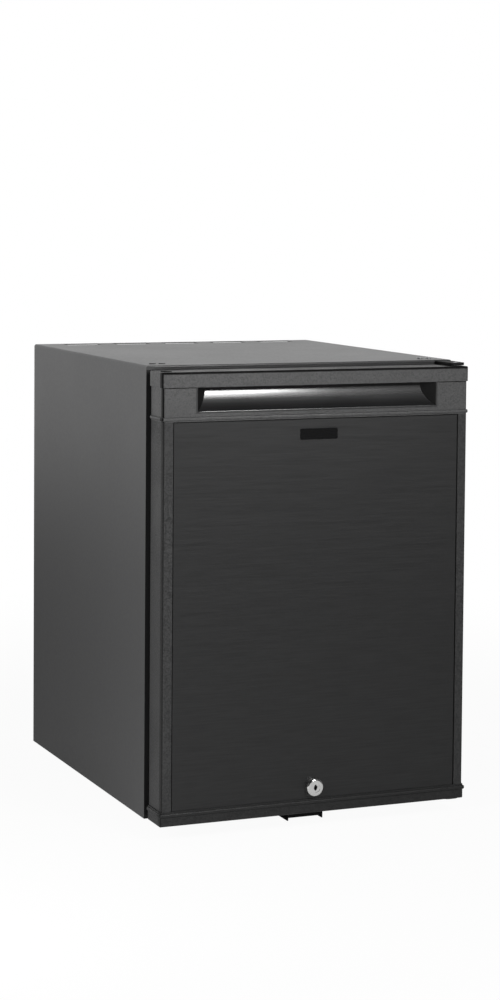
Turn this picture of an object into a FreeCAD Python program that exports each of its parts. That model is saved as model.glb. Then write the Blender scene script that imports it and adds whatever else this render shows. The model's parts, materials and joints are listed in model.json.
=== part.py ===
import FreeCAD, Part
import math
import os
import re
import Sketcher

# Free-standing minibar fridge, in millimetres. +Z is up, the door faces -Y, and the origin is on the
# floor below the middle of the overall box. Every piece is placed from the sizes below.

SIZES = {
    # cabinet
    "cab_width": 402, "cab_height": 539, "cab_depth": 437, "sheet_thick": 1, "edge_round": 3,
    "flange_width": 27, "rear_return": 10, "pan_thick": 1.2, "wall_insul": 30, "back_insul": 44,
    "rear_bay": 84,
    "slot_count": 5, "slot_pitch": 70, "slot_length": 48, "slot_deep": 22, "slot_margin": 10,
    # feet
    "foot_height": 18, "foot_radius": 15, "foot_taper": 2, "foot_inset": 52, "foot_recess": 10,
    # liner and what it holds
    "liner_thick": 2, "liner_rim": 10, "liner_round": 10, "ledge_reach": 8, "ledge_height": 6,
    "ledge_first": 120,
    "ledge_pitch": 105, "ledge_count": 3, "shelf_rod": 2.5, "shelf_wire": 1.5, "shelf_wires": 17,
    "shelf_gap": 2,
    "shelf_front": 12, "evap_width": 220, "evap_height": 96, "evap_plate": 4, "evap_fin": 2,
    "evap_reach": 28,
    "evap_fins": 12, "evap_drop": 24, "gutter_gap": 8, "gutter_height": 14, "gutter_reach": 42,
    "gutter_wall": 2,
    "gutter_over": 8, "feed_inset": 15, "back_inset": 65,
    "control_width": 110, "control_depth": 80, "control_height": 32, "control_set": 85,
    "control_margin": 21,
    "lens_width": 50, "lens_inset": 10, "lens_height": 5, "lens_sink": 2,
    "knob_inset": 25, "knob_radius": 12, "knob_length": 12, "spindle_radius": 3,
    # door
    "door_thick": 42, "gasket_gap": 8, "gasket_clear": 0.3, "gasket_width": 11.5, "door_drop": 5,
    "door_lift": 1,
    "cap_inset": 2, "stile_inset": 1.5, "cap_band": 18, "handle_band": 40, "bottom_cap": 17.5,
    "band_set": 1,
    "stile_set": 0.5, "panel_set": 1.2, "panel_thick": 1, "cap_round": 2.8, "band_round": 2.4,
    "side_round": 1.2, "stile_face": 12,
    "stile_wall": 2, "stile_lip": 7, "stile_return": 12, "groove_gap": 1.2,
    "bead_height": 4.2, "bead_proud": 1.5, "bead_round": 1.35, "handle_bead_low": 1.2,
    "bottom_bead_low": 11.5,
    "recess_side": 42.5, "recess_margin": 11.3, "recess_depth": 15, "recess_hook": 9, "recess_lip": 7,
    "scoop_rise": 0.5, "scoop_wall": 2, "badge_width": 48, "badge_height": 13, "badge_thick": 1,
    "badge_round": 1.5, "seam_tall": 1, "seam_deep": 1.2, "cap_lip": 2, "cap_lap": 6,
    "badge_drop": 12, "dyke_gap": 15, "dyke_wide": 16, "dyke_reach": 56, "dyke_margin": 22, "dyke_round": 4,
    "rack_depth": 62, "rack_wall": 2.5, "rack_round": 5, "rack_first": 30, "rack_pitch": 138,
    "rack_low_height": 72, "rack_height": 46,
    # hinges
    "hinge_inset": 12, "hinge_set": 16, "hinge_plate": 3, "foot_plate": 1.5, "hinge_left": 26,
    "hinge_side": 2, "nose_left": 11,
    "hinge_nose": 10, "low_nose": 7, "nose_round": 6, "hinge_tail": 40, "pin_radius": 3, "pin_sink": 16,
    "bush_wall": 2.5, "bush_floor": 1, "bush_washer": 0.7, "run_clear": 0.05,
    "screw_radius": 2, "screw_head": 4, "screw_height": 1.6, "screw_near": 6, "screw_far": 18,
    "screw_back": 28,
    "hole_clear": 0.1, "plug_height": 0.8, "plug_rim": 1,
    # lock and strike
    "lock_proud": 6, "lock_radius": 10.8, "lock_edge": 2.5, "lock_over": 5.3, "barrel_radius": 9,
    "lock_side": 3,
    "plug_radius": 6, "cam_set": 29, "cam_thick": 2.5, "cam_over": 2.5, "cam_half": 6.5, "cam_round": 4,
    "tail_radius": 4, "nut_wall": 3.5, "nut_length": 6, "key_slot": 7, "key_wide": 1.6, "key_deep": 3,
    "move_clear": 0.5, "housing_wall": 1.5, "housing_room": 6, "cam_room": 3,
    "strike_width": 46.6, "strike_front": 25, "strike_drop": 8, "strike_thick": 1.5, "strike_clear": 5.2,
    "strike_tail": 40, "strike_back": 28, "strike_lip": 2.5, "slot_room": 2,
    # cooling unit in the rear bay
    "boiler_gap": 55, "boiler_width": 70, "boiler_low": 120, "boiler_height": 230, "boiler_round": 10,
    "bay_margin": 14, "pipe_radius": 8, "pipe_bend": 26, "condenser_over": 56, "fin_count": 12,
    "fin_pitch": 11,
    "fin_thick": 1, "fin_half": 26, "coil_radius": 7, "coil_side": 40, "coil_space": 35, "coil_low": 130,
    "coil_runs": 5, "vessel_radius": 27, "vessel_side": 32, "vessel_space": 15, "vessel_rise": 62,
    "vessel_round": 14, "bracket_width": 18, "bracket_half": 16, "thin_radius": 6, "strap_height": 20,
    "strap_thick": 2, "box_gap": 10, "box_width": 60, "box_height": 96, "box_depth": 60, "box_round": 5,
    "inlet_width": 30, "inlet_height": 22, "inlet_deep": 20, "inlet_wall": 2.5, "inlet_rim": 2,
    "blade_half": 1, "blade_tall": 2, "blade_rise": 2.5,
}

# Places that follow from the sizes.
DERIVED = {
    "half_width": "cab_width / 2",
    "cab_base": "foot_height",
    "cab_top": "foot_height + cab_height",
    "door_front": "(lock_proud - door_thick - gasket_gap - cab_depth) / 2",
    "door_rear": "door_front + door_thick",
    "cab_front": "door_rear + gasket_gap",
    "cab_rear": "cab_front + cab_depth",
    "flange_rear": "cab_front + sheet_thick",
    "bay_front": "cab_rear - rear_bay",
    "bay_mid": "cab_rear - rear_bay / 2",
    "door_base": "cab_base + door_lift",
    "door_top": "cab_top - door_drop",
    "cap_half": "half_width - cap_inset",
    "stile_half": "cap_half - stile_inset",
    "panel_low": "door_base + bottom_cap",
    "panel_high": "door_top - cap_band - handle_band",
    "panel_front": "door_front + panel_set",
    "panel_rear": "panel_front + panel_thick",
    "panel_half": "stile_half - stile_face - groove_gap",
    "band_front": "door_front + band_set",
    "inner_round": "edge_round - sheet_thick",
    "inner_half": "half_width - sheet_thick",
    "inner_top": "cab_top - sheet_thick",
    "pan_top": "cab_base + pan_thick",
    "liner_half": "half_width - wall_insul",
    "liner_floor": "cab_base + wall_insul",
    "liner_top": "cab_top - wall_insul",
    "liner_back": "bay_front - sheet_thick - back_insul",
    "hinge_x": "half_width - hinge_inset",
    "hinge_y": "door_front + hinge_set",
    "hinge_reach": "hinge_inset - sheet_thick - hinge_side",
    "plate_low": "inner_top - hinge_plate",
    "bush_radius": "pin_radius + run_clear + bush_wall",
    "bush_depth": "pin_sink + 2 * bush_floor",
    "hole_radius": "screw_radius + hole_clear",
    "screw_y": "cab_front + screw_back",
    "evap_top": "liner_top - evap_drop",
    "evap_low": "evap_top - evap_height",
    "gutter_top": "evap_low - gutter_gap",
    "gutter_half": "evap_width / 2 + gutter_over",
    "tube_z": "evap_top - evap_height / 2",
    "feed_x": "feed_inset - evap_width / 2",
    "back_x": "back_inset - evap_width / 2",
    "dyke_inner": "liner_half - dyke_gap - dyke_wide",
    "rack_front": "door_rear + rack_depth",
    "gasket_outer": "hinge_inset + hinge_side",
    "gasket_inner": "gasket_outer + gasket_width",
    "lock_front": "door_front - lock_proud",
    "lock_x": "-lock_side",
    "lock_z": "panel_low + barrel_radius + lock_over",
    "nut_radius": "barrel_radius + nut_wall",
    "cam_front": "door_front + cam_set",
    "cam_rear": "cam_front + cam_thick",
    "cam_length": "lock_z - strike_low + cam_over",
    "strike_left": "lock_x - strike_width / 2",
    "strike_right": "lock_x + strike_width / 2",
    "strike_top": "cab_base - strike_drop",
    "strike_low": "strike_top - strike_thick",
    "strike_y": "door_front + strike_front",
    "step_y": "cab_front + strike_thick",
    "recess_half": "stile_half - recess_side",
    "recess_height": "handle_band - recess_margin",
    "recess_top": "door_top - cap_band",
    "recess_low": "recess_top - recess_height",
    "scoop_back": "band_front + recess_depth",
    "control_right": "liner_half - control_margin",
    "control_left": "control_right - control_width",
    "control_front": "cab_front + control_set",
    "control_rear": "control_front + control_depth",
    "control_low": "liner_top - control_height",
    "knob_x": "control_right - knob_inset",
    "knob_z": "liner_top - control_height / 2",
    "knob_front": "control_front - move_clear - knob_length",
    "boiler_left": "inner_half - boiler_gap - boiler_width",
    "boiler_mid": "boiler_left + boiler_width / 2",
    "boiler_base": "cab_base + boiler_low",
    "condenser_z": "tube_z + condenser_over",
    "coil_left": "coil_side - inner_half",
    "coil_right": "boiler_left - coil_space",
    "coil_z": "cab_base + coil_low",
    "coil_pitch": "(tube_z - coil_z) / (coil_runs + 1.15)",
    "vessel_left": "vessel_side - inner_half",
    "vessel_right": "boiler_left - vessel_space",
    "vessel_z": "cab_base + vessel_rise",
    "box_left": "inner_half - box_gap - box_width",
    "box_rear": "bay_front + box_depth",
    "stile_front": "door_front + stile_set",
    "lip_rear": "panel_rear + stile_wall",
    "face_in": "stile_half - stile_face",
    "lip_in": "face_in - stile_lip",
    "wall_in": "stile_half - stile_wall",
    "return_in": "stile_half - stile_return",
    "core_rear": "door_rear - stile_wall",
    "house_left": "lock_x - cam_length - housing_room",
    "house_right": "lock_x + barrel_radius + housing_room",
    "house_front": "cam_front - housing_room",
    "house_top": "lock_z + barrel_radius + housing_room",
}

doc = FreeCAD.newDocument("minibar_fridge")
sheet = doc.addObject("Spreadsheet::Sheet", "sizes")
for row, (word, number) in enumerate(SIZES.items(), start=1):
    sheet.set(f"A{row}", word)
    sheet.set(f"B{row}", str(number))
    sheet.setAlias(f"B{row}", word)
doc.recompute()

NODES = []
X_AXIS = FreeCAD.Rotation(FreeCAD.Vector(0, 1, 0), 90)
Y_AXIS = FreeCAD.Rotation(FreeCAD.Vector(1, 0, 0), -90)
Z_AXIS = FreeCAD.Rotation()
SPILL = 5


def expand(text):
    """Write a formula with the sheet's cells in place of the names of sizes and places."""
    def swap(match):
        word = match.group(0)
        if word in DERIVED:
            return "(" + expand(DERIVED[word]) + ")"
        if word in SIZES:
            return "sizes." + word
        return word
    return re.sub(r"[A-Za-z_]\w*", swap, str(text))


def number(text):
    """Value of a formula, for the places where a plain number is needed."""
    return float(sheet.evalExpression(expand(text)))


def bind(thing, prop, text):
    """Bind a property to a formula of the sheet's cells."""
    thing.setExpression(prop, expand(text))


def place(thing, x, y, z):
    """Bind the three coordinates of a placement."""
    for axis, text in zip("xyz", (x, y, z)):
        bind(thing, f"Placement.Base.{axis}", text)


def keep(thing, label):
    """Label a finished piece and list it for writing."""
    thing.Label = label
    NODES.append(thing)
    return thing


def new_body(name):
    return doc.addObject("PartDesign::Body", name)


def box(owner, kind, name, x, y, z):
    """Box between pairs of formulas, as a feature of a body or as a solid of the document."""
    if owner is None:
        made = doc.addObject("Part::Box", name)
    else:
        made = owner.newObject("PartDesign::" + kind + "Box", name)
    for prop, (low, high) in zip(("Length", "Width", "Height"), (x, y, z)):
        bind(made, prop, f"({high}) - ({low})")
    place(made, x[0], y[0], z[0])
    return made


def add_box(body, name, x, y, z):
    return box(body, "Additive", name, x, y, z)


def cut_box(body, name, x, y, z):
    return box(body, "Subtractive", name, x, y, z)


def rod(owner, kind, name, radius, start, length, turn=Z_AXIS):
    """Cylinder from a start point along the turned axis."""
    if owner is None:
        made = doc.addObject("Part::Cylinder", name)
    else:
        made = owner.newObject("PartDesign::" + kind + "Cylinder", name)
    made.Placement = FreeCAD.Placement(FreeCAD.Vector(), turn)
    bind(made, "Radius", radius)
    bind(made, "Height", length)
    place(made, *start)
    return made


def add_rod(body, name, radius, start, length, turn=Z_AXIS):
    return rod(body, "Additive", name, radius, start, length, turn)


def cut_rod(body, name, radius, start, length, turn=Z_AXIS):
    return rod(body, "Subtractive", name, radius, start, length, turn)


def both(half):
    """Span from minus to plus a formula."""
    return (f"-({half})", half)


def mirrored(side, low, high):
    """Span between two formulas on the right side, or its mirror on the left."""
    return (low, high) if side > 0 else (f"-({high})", f"-({low})")


def within(x=None, y=None, z=None):
    """Test for edges that lie between pairs of formulas."""
    limits = [
        None if pair is None else (number(pair[0]) - 0.01, number(pair[1]) + 0.01)
        for pair in (x, y, z)
    ]

    def test(bounds):
        spans = ((bounds.XMin, bounds.XMax), (bounds.YMin, bounds.YMax), (bounds.ZMin, bounds.ZMax))
        return all(
            pair is None or (pair[0] <= low and high <= pair[1])
            for pair, (low, high) in zip(limits, spans)
        )
    return test


def round_edges(body, name, radius, *tests):
    """Round the edges of a body that pass one of the tests."""
    doc.recompute()
    tip = body.Tip
    picked = []
    for index, edge in enumerate(tip.Shape.Edges, start=1):
        if any(test(edge.BoundBox) for test in tests):
            picked.append(f"Edge{index}")
    fillet = body.newObject("PartDesign::Fillet", name)
    fillet.Base = (tip, picked)
    bind(fillet, "Radius", radius)
    return fillet


def origin_part(body, role):
    return [part for part in body.Origin.OriginFeatures if part.Role == role][0]


def row_of(body, name, original, count, step):
    """Repeat a feature of a body along X."""
    pattern = body.newObject("PartDesign::LinearPattern", name)
    pattern.Originals = [original]
    pattern.Direction = (origin_part(body, "X_Axis"), [""])
    bind(pattern, "Length", f"({step}) * ({count} - 1)")
    bind(pattern, "Occurrences", count)
    body.Tip = pattern
    return pattern


def outline(body, name, plane, offset, points):
    """Closed sketch through points given by formulas. A third entry makes the side after that point an
    arc, and gives the second coordinate of its centre."""
    sketch = body.newObject("Sketcher::SketchObject", name)
    sketch.AttachmentSupport = [(origin_part(body, plane), "")]
    sketch.MapMode = "FlatFace"
    bind(sketch, "AttachmentOffset.Base.z", offset)
    spots = [FreeCAD.Vector(number(point[0]), number(point[1]), 0) for point in points]
    count = len(points)
    arcs = {}
    for index, point in enumerate(points):
        start = spots[index]
        end = spots[(index + 1) % count]
        if len(point) == 2:
            sketch.addGeometry(Part.LineSegment(start, end), False)
            continue
        level = number(point[2])
        across = (end.x**2 - start.x**2 + (end.y - level)**2 - (start.y - level)**2) / (
            2 * (end.x - start.x)
        )
        centre = FreeCAD.Vector(across, level, 0)
        radius = (start - centre).Length
        circle = Part.Circle(centre, FreeCAD.Vector(0, 0, 1), radius)
        first = math.atan2(end.y - level, end.x - across)
        last = math.atan2(start.y - level, start.x - across)
        sketch.addGeometry(Part.ArcOfCircle(circle, first, last), False)
        arcs[index] = point[2]
    for index in range(count):
        following = (index + 1) % count
        last = 1 if index in arcs else 2
        first = 2 if following in arcs else 1
        sketch.addConstraint(Sketcher.Constraint("Coincident", index, last, following, first))
    for index, point in enumerate(points):
        corner = 2 if index in arcs else 1
        for kind, text in zip(("DistanceX", "DistanceY"), point[:2]):
            row = sketch.addConstraint(Sketcher.Constraint(kind, -1, 1, index, corner, number(text)))
            bind(sketch, f"Constraints[{row}]", text)
    for index, text in arcs.items():
        row = sketch.addConstraint(Sketcher.Constraint("DistanceY", -1, 1, index, 3, number(text)))
        bind(sketch, f"Constraints[{row}]", text)
    return sketch


def pad(body, name, sketch, length):
    made = body.newObject("PartDesign::Pad", name)
    made.Profile = sketch
    bind(made, "Length", length)
    return made


def join(name, pieces):
    made = doc.addObject("Part::MultiFuse", name)
    made.Shapes = pieces
    return made


def subtract(name, base, tool):
    made = doc.addObject("Part::Cut", name)
    made.Base = base
    made.Tool = tool
    return made


def common(name, base, tool):
    made = doc.addObject("Part::Common", name)
    made.Base = base
    made.Tool = tool
    return made


def group(name, pieces):
    """Several separate solids that share one name."""
    made = doc.addObject("Part::Compound", name)
    made.Links = pieces
    return keep(made, name)


def screw(name, x, y, z, length, up):
    """Screw with a round head. The head lies above z when the screw points down, and below it otherwise."""
    reach = (z, f"({z}) + ({length})") if up else (f"({z}) - ({length})", z)
    head = (f"({z}) - screw_height", z) if up else (z, f"({z}) + screw_height")
    shank = rod(None, "", name + "_shank", "screw_radius", (x, y, reach[0]), length)
    cap = rod(None, "", name + "_head", "screw_head", (x, y, head[0]), "screw_height")
    return join(name, [shank, cap])


def pipe(name, spots, radius, bend):
    """Round pipe along straight runs with bends of one radius."""
    points = [FreeCAD.Vector(*spot) for spot in spots]
    edges = []
    begin = points[0]
    for before, corner, after in zip(points, points[1:], points[2:]):
        into = (before - corner).normalize()
        out = (after - corner).normalize()
        half = into.getAngle(out) / 2
        run = bend / math.tan(half)
        first = corner + into * run
        last = corner + out * run
        middle = corner + (into + out).normalize() * (bend / math.sin(half) - bend)
        if (first - begin).Length > 1e-6:
            edges.append(Part.makeLine(begin, first))
        edges.append(Part.Arc(first, middle, last).toShape())
        begin = last
    edges.append(Part.makeLine(begin, points[-1]))
    way = (edges[0].valueAt(edges[0].LastParameter) - points[0]).normalize()
    ring = Part.Wire([Part.makeCircle(radius, points[0], way)])
    made = doc.addObject("Part::Feature", name)
    made.Shape = Part.Wire(edges).makePipeShell([ring], True, True)
    return made


# Cabinet: wrapped case

TOP_SCREWS = ("screw_near", "screw_far")
INNER_TOP_EDGES = [
    {"x": ("inner_half", "inner_half"), "z": ("inner_top", "inner_top")},
    {"x": ("-inner_half", "-inner_half"), "z": ("inner_top", "inner_top")},
]

case = new_body("outer_case")
add_box(case, "case_block", both("half_width"), ("cab_front", "cab_rear"), ("cab_base", "cab_top"))
round_edges(
    case, "case_bends", "edge_round",
    within(x=("half_width", "half_width"), z=("cab_top", "cab_top")),
    within(x=("-half_width", "-half_width"), z=("cab_top", "cab_top")),
)
cut_box(
    case, "case_hollow", both("inner_half"), ("flange_rear", f"cab_rear + {SPILL}"),
    (f"cab_base - {SPILL}", "inner_top"),
)
round_edges(
    case, "case_inner_bends", "inner_round",
    *[within(y=("flange_rear", "cab_rear"), **edge) for edge in INNER_TOP_EDGES],
)
cut_box(
    case, "case_window", both("half_width - flange_width"),
    (f"cab_front - {SPILL}", "cab_front + 2 * sheet_thick"),
    (f"cab_base - {SPILL}", "cab_top - flange_width"),
)
cut_box(
    case, "case_hinge_notch", ("hinge_x - nose_left", "hinge_x + hinge_reach"),
    (f"cab_front - {SPILL}", "cab_front + 2 * sheet_thick"), ("plate_low", "inner_top"),
)
for side in (-1, 1):
    add_box(
        case, "case_rear_return", mirrored(side, "inner_half - rear_return", "inner_half"),
        ("cab_rear - sheet_thick", "cab_rear"), ("cab_base", "inner_top - inner_round"),
    )
    for inset in TOP_SCREWS:
        cut_rod(
            case, "case_top_hole", "hole_radius",
            (f"{side} * (hinge_x - {inset})", "screw_y", f"inner_top - {SPILL}"),
            f"sheet_thick + {SPILL} * 2",
        )
first_slot = "-slot_pitch * (slot_count - 1) / 2"
vent = cut_box(
    case, "case_vent", (f"{first_slot} - slot_length / 2", f"{first_slot} + slot_length / 2"),
    ("cab_rear - slot_margin - slot_deep", "cab_rear - slot_margin"),
    (f"inner_top - {SPILL}", f"cab_top + {SPILL}"),
)
row_of(case, "case_vents", vent, "slot_count", "slot_pitch")
keep(case, "outer_case")

# Cabinet: base pan with its front flange

FEET = {
    "front_left": ("foot_inset - half_width", "cab_front + foot_inset"),
    "front_right": ("half_width - foot_inset", "cab_front + foot_inset"),
    "rear_left": ("foot_inset - half_width", "cab_rear - foot_inset"),
    "rear_right": ("half_width - foot_inset", "cab_rear - foot_inset"),
}
STRIKE_SCREWS = [(f"lock_x + {side} * strike_width / 4", "cab_front + strike_back") for side in (-1, 1)]
HINGE_SCREWS = [(f"hinge_x - {inset}", "screw_y") for inset in TOP_SCREWS]

pan = new_body("base_pan")
add_box(
    pan, "pan_floor", both("inner_half"), ("flange_rear", "cab_rear - sheet_thick"),
    ("cab_base", "pan_top"),
)
add_box(
    pan, "pan_flange", both("half_width - flange_width"), ("cab_front", "flange_rear"),
    ("cab_base", "cab_base + flange_width"),
)
for x, y in list(FEET.values()) + HINGE_SCREWS + STRIKE_SCREWS:
    cut_rod(pan, "pan_hole", "hole_radius", (x, y, f"cab_base - {SPILL}"), f"pan_thick + {SPILL} * 2")
keep(pan, "base_pan")

# Cabinet: rear wall, foam and liner, all passed by the two tubes of the cold plate

TUBES = [("feed_x", "pipe_radius"), ("back_x", "coil_radius")]


def drill_tubes(body, name, start, length):
    """Holes for the two tubes of the cold plate."""
    for x, radius in TUBES:
        cut_rod(body, name, radius, (x, start, "tube_z"), length, Y_AXIS)


wall = new_body("rear_wall")
add_box(
    wall, "wall_sheet", both("inner_half"), ("bay_front - sheet_thick", "bay_front"),
    ("pan_top", "inner_top"),
)
round_edges(wall, "wall_corners", "inner_round", *[within(**edge) for edge in INNER_TOP_EDGES])
drill_tubes(wall, "wall_tube_hole", f"bay_front - {SPILL}", f"{SPILL} * 2")
keep(wall, "rear_wall")

foam = new_body("cabinet_foam")
add_box(
    foam, "foam_block", both("inner_half"), ("flange_rear + liner_thick", "bay_front - sheet_thick"),
    ("pan_top", "inner_top"),
)
round_edges(foam, "foam_corners", "inner_round", *[within(**edge) for edge in INNER_TOP_EDGES])
cut_box(
    foam, "foam_hollow", both("liner_half + liner_thick"),
    (f"cab_front - {SPILL}", "liner_back + liner_thick"),
    ("liner_floor - liner_thick", "liner_top + liner_thick"),
)
cut_box(
    foam, "foam_hinge_pocket", ("hinge_x - hinge_left", f"half_width + {SPILL}"),
    (f"cab_front - {SPILL}", "cab_front + hinge_tail"), ("plate_low", f"cab_top + {SPILL}"),
)
drill_tubes(foam, "foam_tube_hole", f"liner_back - {SPILL}", f"back_insul + {SPILL} * 2")
keep(foam, "cabinet_foam")

liner = new_body("inner_liner")
add_box(
    liner, "liner_block", both("liner_half + liner_thick"), ("flange_rear", "liner_back + liner_thick"),
    ("liner_floor - liner_thick", "liner_top + liner_thick"),
)
add_box(
    liner, "liner_flange", both("half_width - liner_rim"), ("flange_rear", "flange_rear + liner_thick"),
    ("cab_base + liner_rim", "cab_top - liner_rim"),
)
cut_box(
    liner, "liner_hollow", both("liner_half"), (f"cab_front - {SPILL}", "liner_back"),
    ("liner_floor", "liner_top"),
)
round_edges(
    liner, "liner_corners", "liner_round",
    *[
        within(x=(x, x), y=("cab_front", "liner_back"), z=(z, z))
        for x in ("liner_half", "-liner_half")
        for z in ("liner_floor", "liner_top")
    ],
)
for level in range(int(SIZES["ledge_count"])):
    height = f"liner_floor + ledge_first + ledge_pitch * {level}"
    for side in (-1, 1):
        add_box(
            liner, "liner_ledge",
            mirrored(side, "liner_half - ledge_reach", "liner_half + liner_thick / 2"),
            ("rack_front + shelf_front", "liner_back + liner_thick / 2"),
            (f"{height} - ledge_height", height),
        )
drill_tubes(liner, "liner_tube_hole", f"liner_back - {SPILL / 5}", f"{SPILL} * 2")
keep(liner, "inner_liner")

# Cold plate with fins, and the gutter below it

cold = new_body("evaporator")
fin_rear = "liner_back - evap_plate"
add_box(cold, "cold_plate", both("evap_width / 2"), (fin_rear, "liner_back"), ("evap_low", "evap_top"))
fin = add_box(
    cold, "cold_fin", ("-evap_width / 2", "-evap_width / 2 + evap_fin"),
    (f"{fin_rear} - evap_reach", fin_rear),
    ("evap_low", "evap_top"),
)
row_of(cold, "cold_fins", fin, "evap_fins", "(evap_width - evap_fin) / (evap_fins - 1)")
keep(cold, "evaporator")

gutter = new_body("drip_gutter")
add_box(
    gutter, "gutter_block", both("gutter_half"), ("liner_back - gutter_reach", "liner_back"),
    ("gutter_top - gutter_height", "gutter_top"),
)
cut_box(
    gutter, "gutter_hollow", both("gutter_half - gutter_wall"),
    ("liner_back - gutter_reach + gutter_wall", "liner_back - gutter_wall"),
    ("gutter_top - gutter_height + gutter_wall", f"gutter_top + {SPILL}"),
)
keep(gutter, "drip_gutter")

# Wire shelves on the liner's ledges


def wire_shelf(label, level):
    """Wire shelf: two side rods on the ledges, front and rear rods, and thinner wires welded on top."""
    z = f"liner_floor + ledge_first + ledge_pitch * {level} + shelf_rod"
    half = "liner_half - shelf_gap - shelf_rod"
    front = "rack_front + shelf_front"
    rear = "liner_back - gutter_reach - shelf_gap"
    length = f"({rear}) - ({front})"
    pieces = []
    for side in (-1, 1):
        start = (f"{side} * ({half})", front, z)
        pieces.append(rod(None, "", label + "_side", "shelf_rod", start, length, Y_AXIS))
    for y in (f"{front} + shelf_rod * 2", f"{rear} - shelf_rod * 2"):
        pieces.append(
            rod(None, "", label + "_cross", "shelf_rod", (f"-({half})", y, z), f"2 * ({half})", X_AXIS),
        )
    count = int(SIZES["shelf_wires"])
    for index in range(1, count + 1):
        start = (f"({half}) * (2 * {index} / {count + 1} - 1)", f"{front} + shelf_rod", f"{z} + shelf_rod")
        pieces.append(
            rod(None, "", label + "_wire", "shelf_wire", start, f"{length} - 2 * shelf_rod", Y_AXIS),
        )
    return keep(join(label, pieces), label)


wire_shelf("shelf_upper", 1)
wire_shelf("shelf_lower", 0)

# Control housing with lamp lens and thermostat knob

control = new_body("control_housing")
control_x = ("control_left", "control_right")
control_y = ("control_front", "control_rear")
add_box(control, "control_block", control_x, control_y, ("control_low", "liner_top"))
round_edges(
    control, "control_corners", "box_round",
    *[within(x=(x, x), y=(y, y)) for x in control_x for y in control_y],
)
lens_x = ("control_left + lens_inset", "control_left + lens_inset + lens_width")
lens_y = ("control_front + lens_inset", "control_rear - lens_inset")
lens_low = "control_low + lens_sink - lens_height"
cut_box(control, "control_lens_seat", lens_x, lens_y, (f"control_low - {SPILL}", "control_low + lens_sink"))
cut_rod(
    control, "control_spindle_hole", "spindle_radius + run_clear",
    ("knob_x", f"control_front - {SPILL}", "knob_z"),
    f"knob_length + {SPILL}", Y_AXIS,
)
keep(control, "control_housing")

lens = new_body("light_lens")
add_box(lens, "lens_block", lens_x, lens_y, (lens_low, "control_low + lens_sink"))
round_edges(lens, "lens_edges", "lens_sink / 2", within(z=(lens_low, lens_low)))
keep(lens, "light_lens")

knob = new_body("thermostat_knob")
add_rod(knob, "knob_disc", "knob_radius", ("knob_x", "knob_front", "knob_z"), "knob_length", Y_AXIS)
round_edges(knob, "knob_edge", "knob_radius / 8", within(y=("knob_front", "knob_front")))
add_rod(
    knob, "knob_spindle", "spindle_radius", ("knob_x", "control_front - move_clear * 2", "knob_z"),
    "knob_length", Y_AXIS,
)
cut_box(
    knob, "knob_pointer", ("knob_x - spindle_radius / 3", "knob_x + spindle_radius / 3"),
    (f"knob_front - {SPILL}", "knob_front + spindle_radius / 3"),
    ("knob_z + knob_radius / 4", "knob_z + knob_radius * 0.85"),
)
keep(knob, "thermostat_knob")

# Hinge plates, pins and screws


def hinge_plate_body(label, nose, z):
    """Flat hinge plate with a wide tail, a narrow rounded nose, a pin hole and two screw holes."""
    plate = new_body(label)
    right = "hinge_x + hinge_reach"
    nose_x = ("hinge_x - nose_left", right)
    y_low = f"hinge_y - {nose}"
    y_step = "cab_front + sheet_thick"
    add_box(plate, label + "_tail", ("hinge_x - hinge_left", right), (y_step, "cab_front + hinge_tail"), z)
    add_box(plate, label + "_nose", nose_x, (y_low, y_step), z)
    round_edges(plate, label + "_round", "nose_round", *[within(x=(x, x), y=(y_low, y_low)) for x in nose_x])
    through = f"({z[1]}) - ({z[0]}) + {SPILL} * 2"
    cut_rod(plate, label + "_pin_hole", "pin_radius", ("hinge_x", "hinge_y", f"{z[0]} - {SPILL}"), through)
    for x, y in HINGE_SCREWS:
        cut_rod(plate, label + "_hole", "hole_radius", (x, y, f"{z[0]} - {SPILL}"), through)
    return keep(plate, label)


hinge_plate_body("hinge_plate_top", "hinge_nose", ("plate_low", "inner_top"))
hinge_plate_body("hinge_plate_bottom", "low_nose", ("cab_base - foot_plate", "cab_base"))

top_pin = rod(
    None, "", "hinge_pin_top", "pin_radius", ("hinge_x", "hinge_y", "door_top - pin_sink"),
    "inner_top - door_top + pin_sink",
)
keep(top_pin, "hinge_pin_top")
low_pin = rod(
    None, "", "hinge_pin_bottom", "pin_radius", ("hinge_x", "hinge_y", "cab_base - foot_plate"),
    "foot_plate + door_lift + pin_sink",
)
keep(low_pin, "hinge_pin_bottom")
group(
    "hinge_screws_top",
    [screw("top_screw", x, y, "cab_top", "sheet_thick + hinge_plate", False) for x, y in HINGE_SCREWS],
)
group(
    "hinge_screws_bottom",
    [
        screw("low_screw", x, y, "cab_base - foot_plate", "foot_plate + pan_thick", True)
        for x, y in HINGE_SCREWS
    ],
)
top_plugs = []
for x, y in HINGE_SCREWS:
    stem = rod(None, "", "top_plug_stem", "screw_radius", (f"-({x})", y, "inner_top"), "sheet_thick")
    disc = rod(None, "", "top_plug_disc", "screw_head", (f"-({x})", y, "cab_top"), "plug_height")
    top_plugs.append(join("top_plug", [stem, disc]))
group("hole_plugs_top", top_plugs)

# Strike for the lock: a stepped sheet under the door with two ears and a slot for the cam

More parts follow.
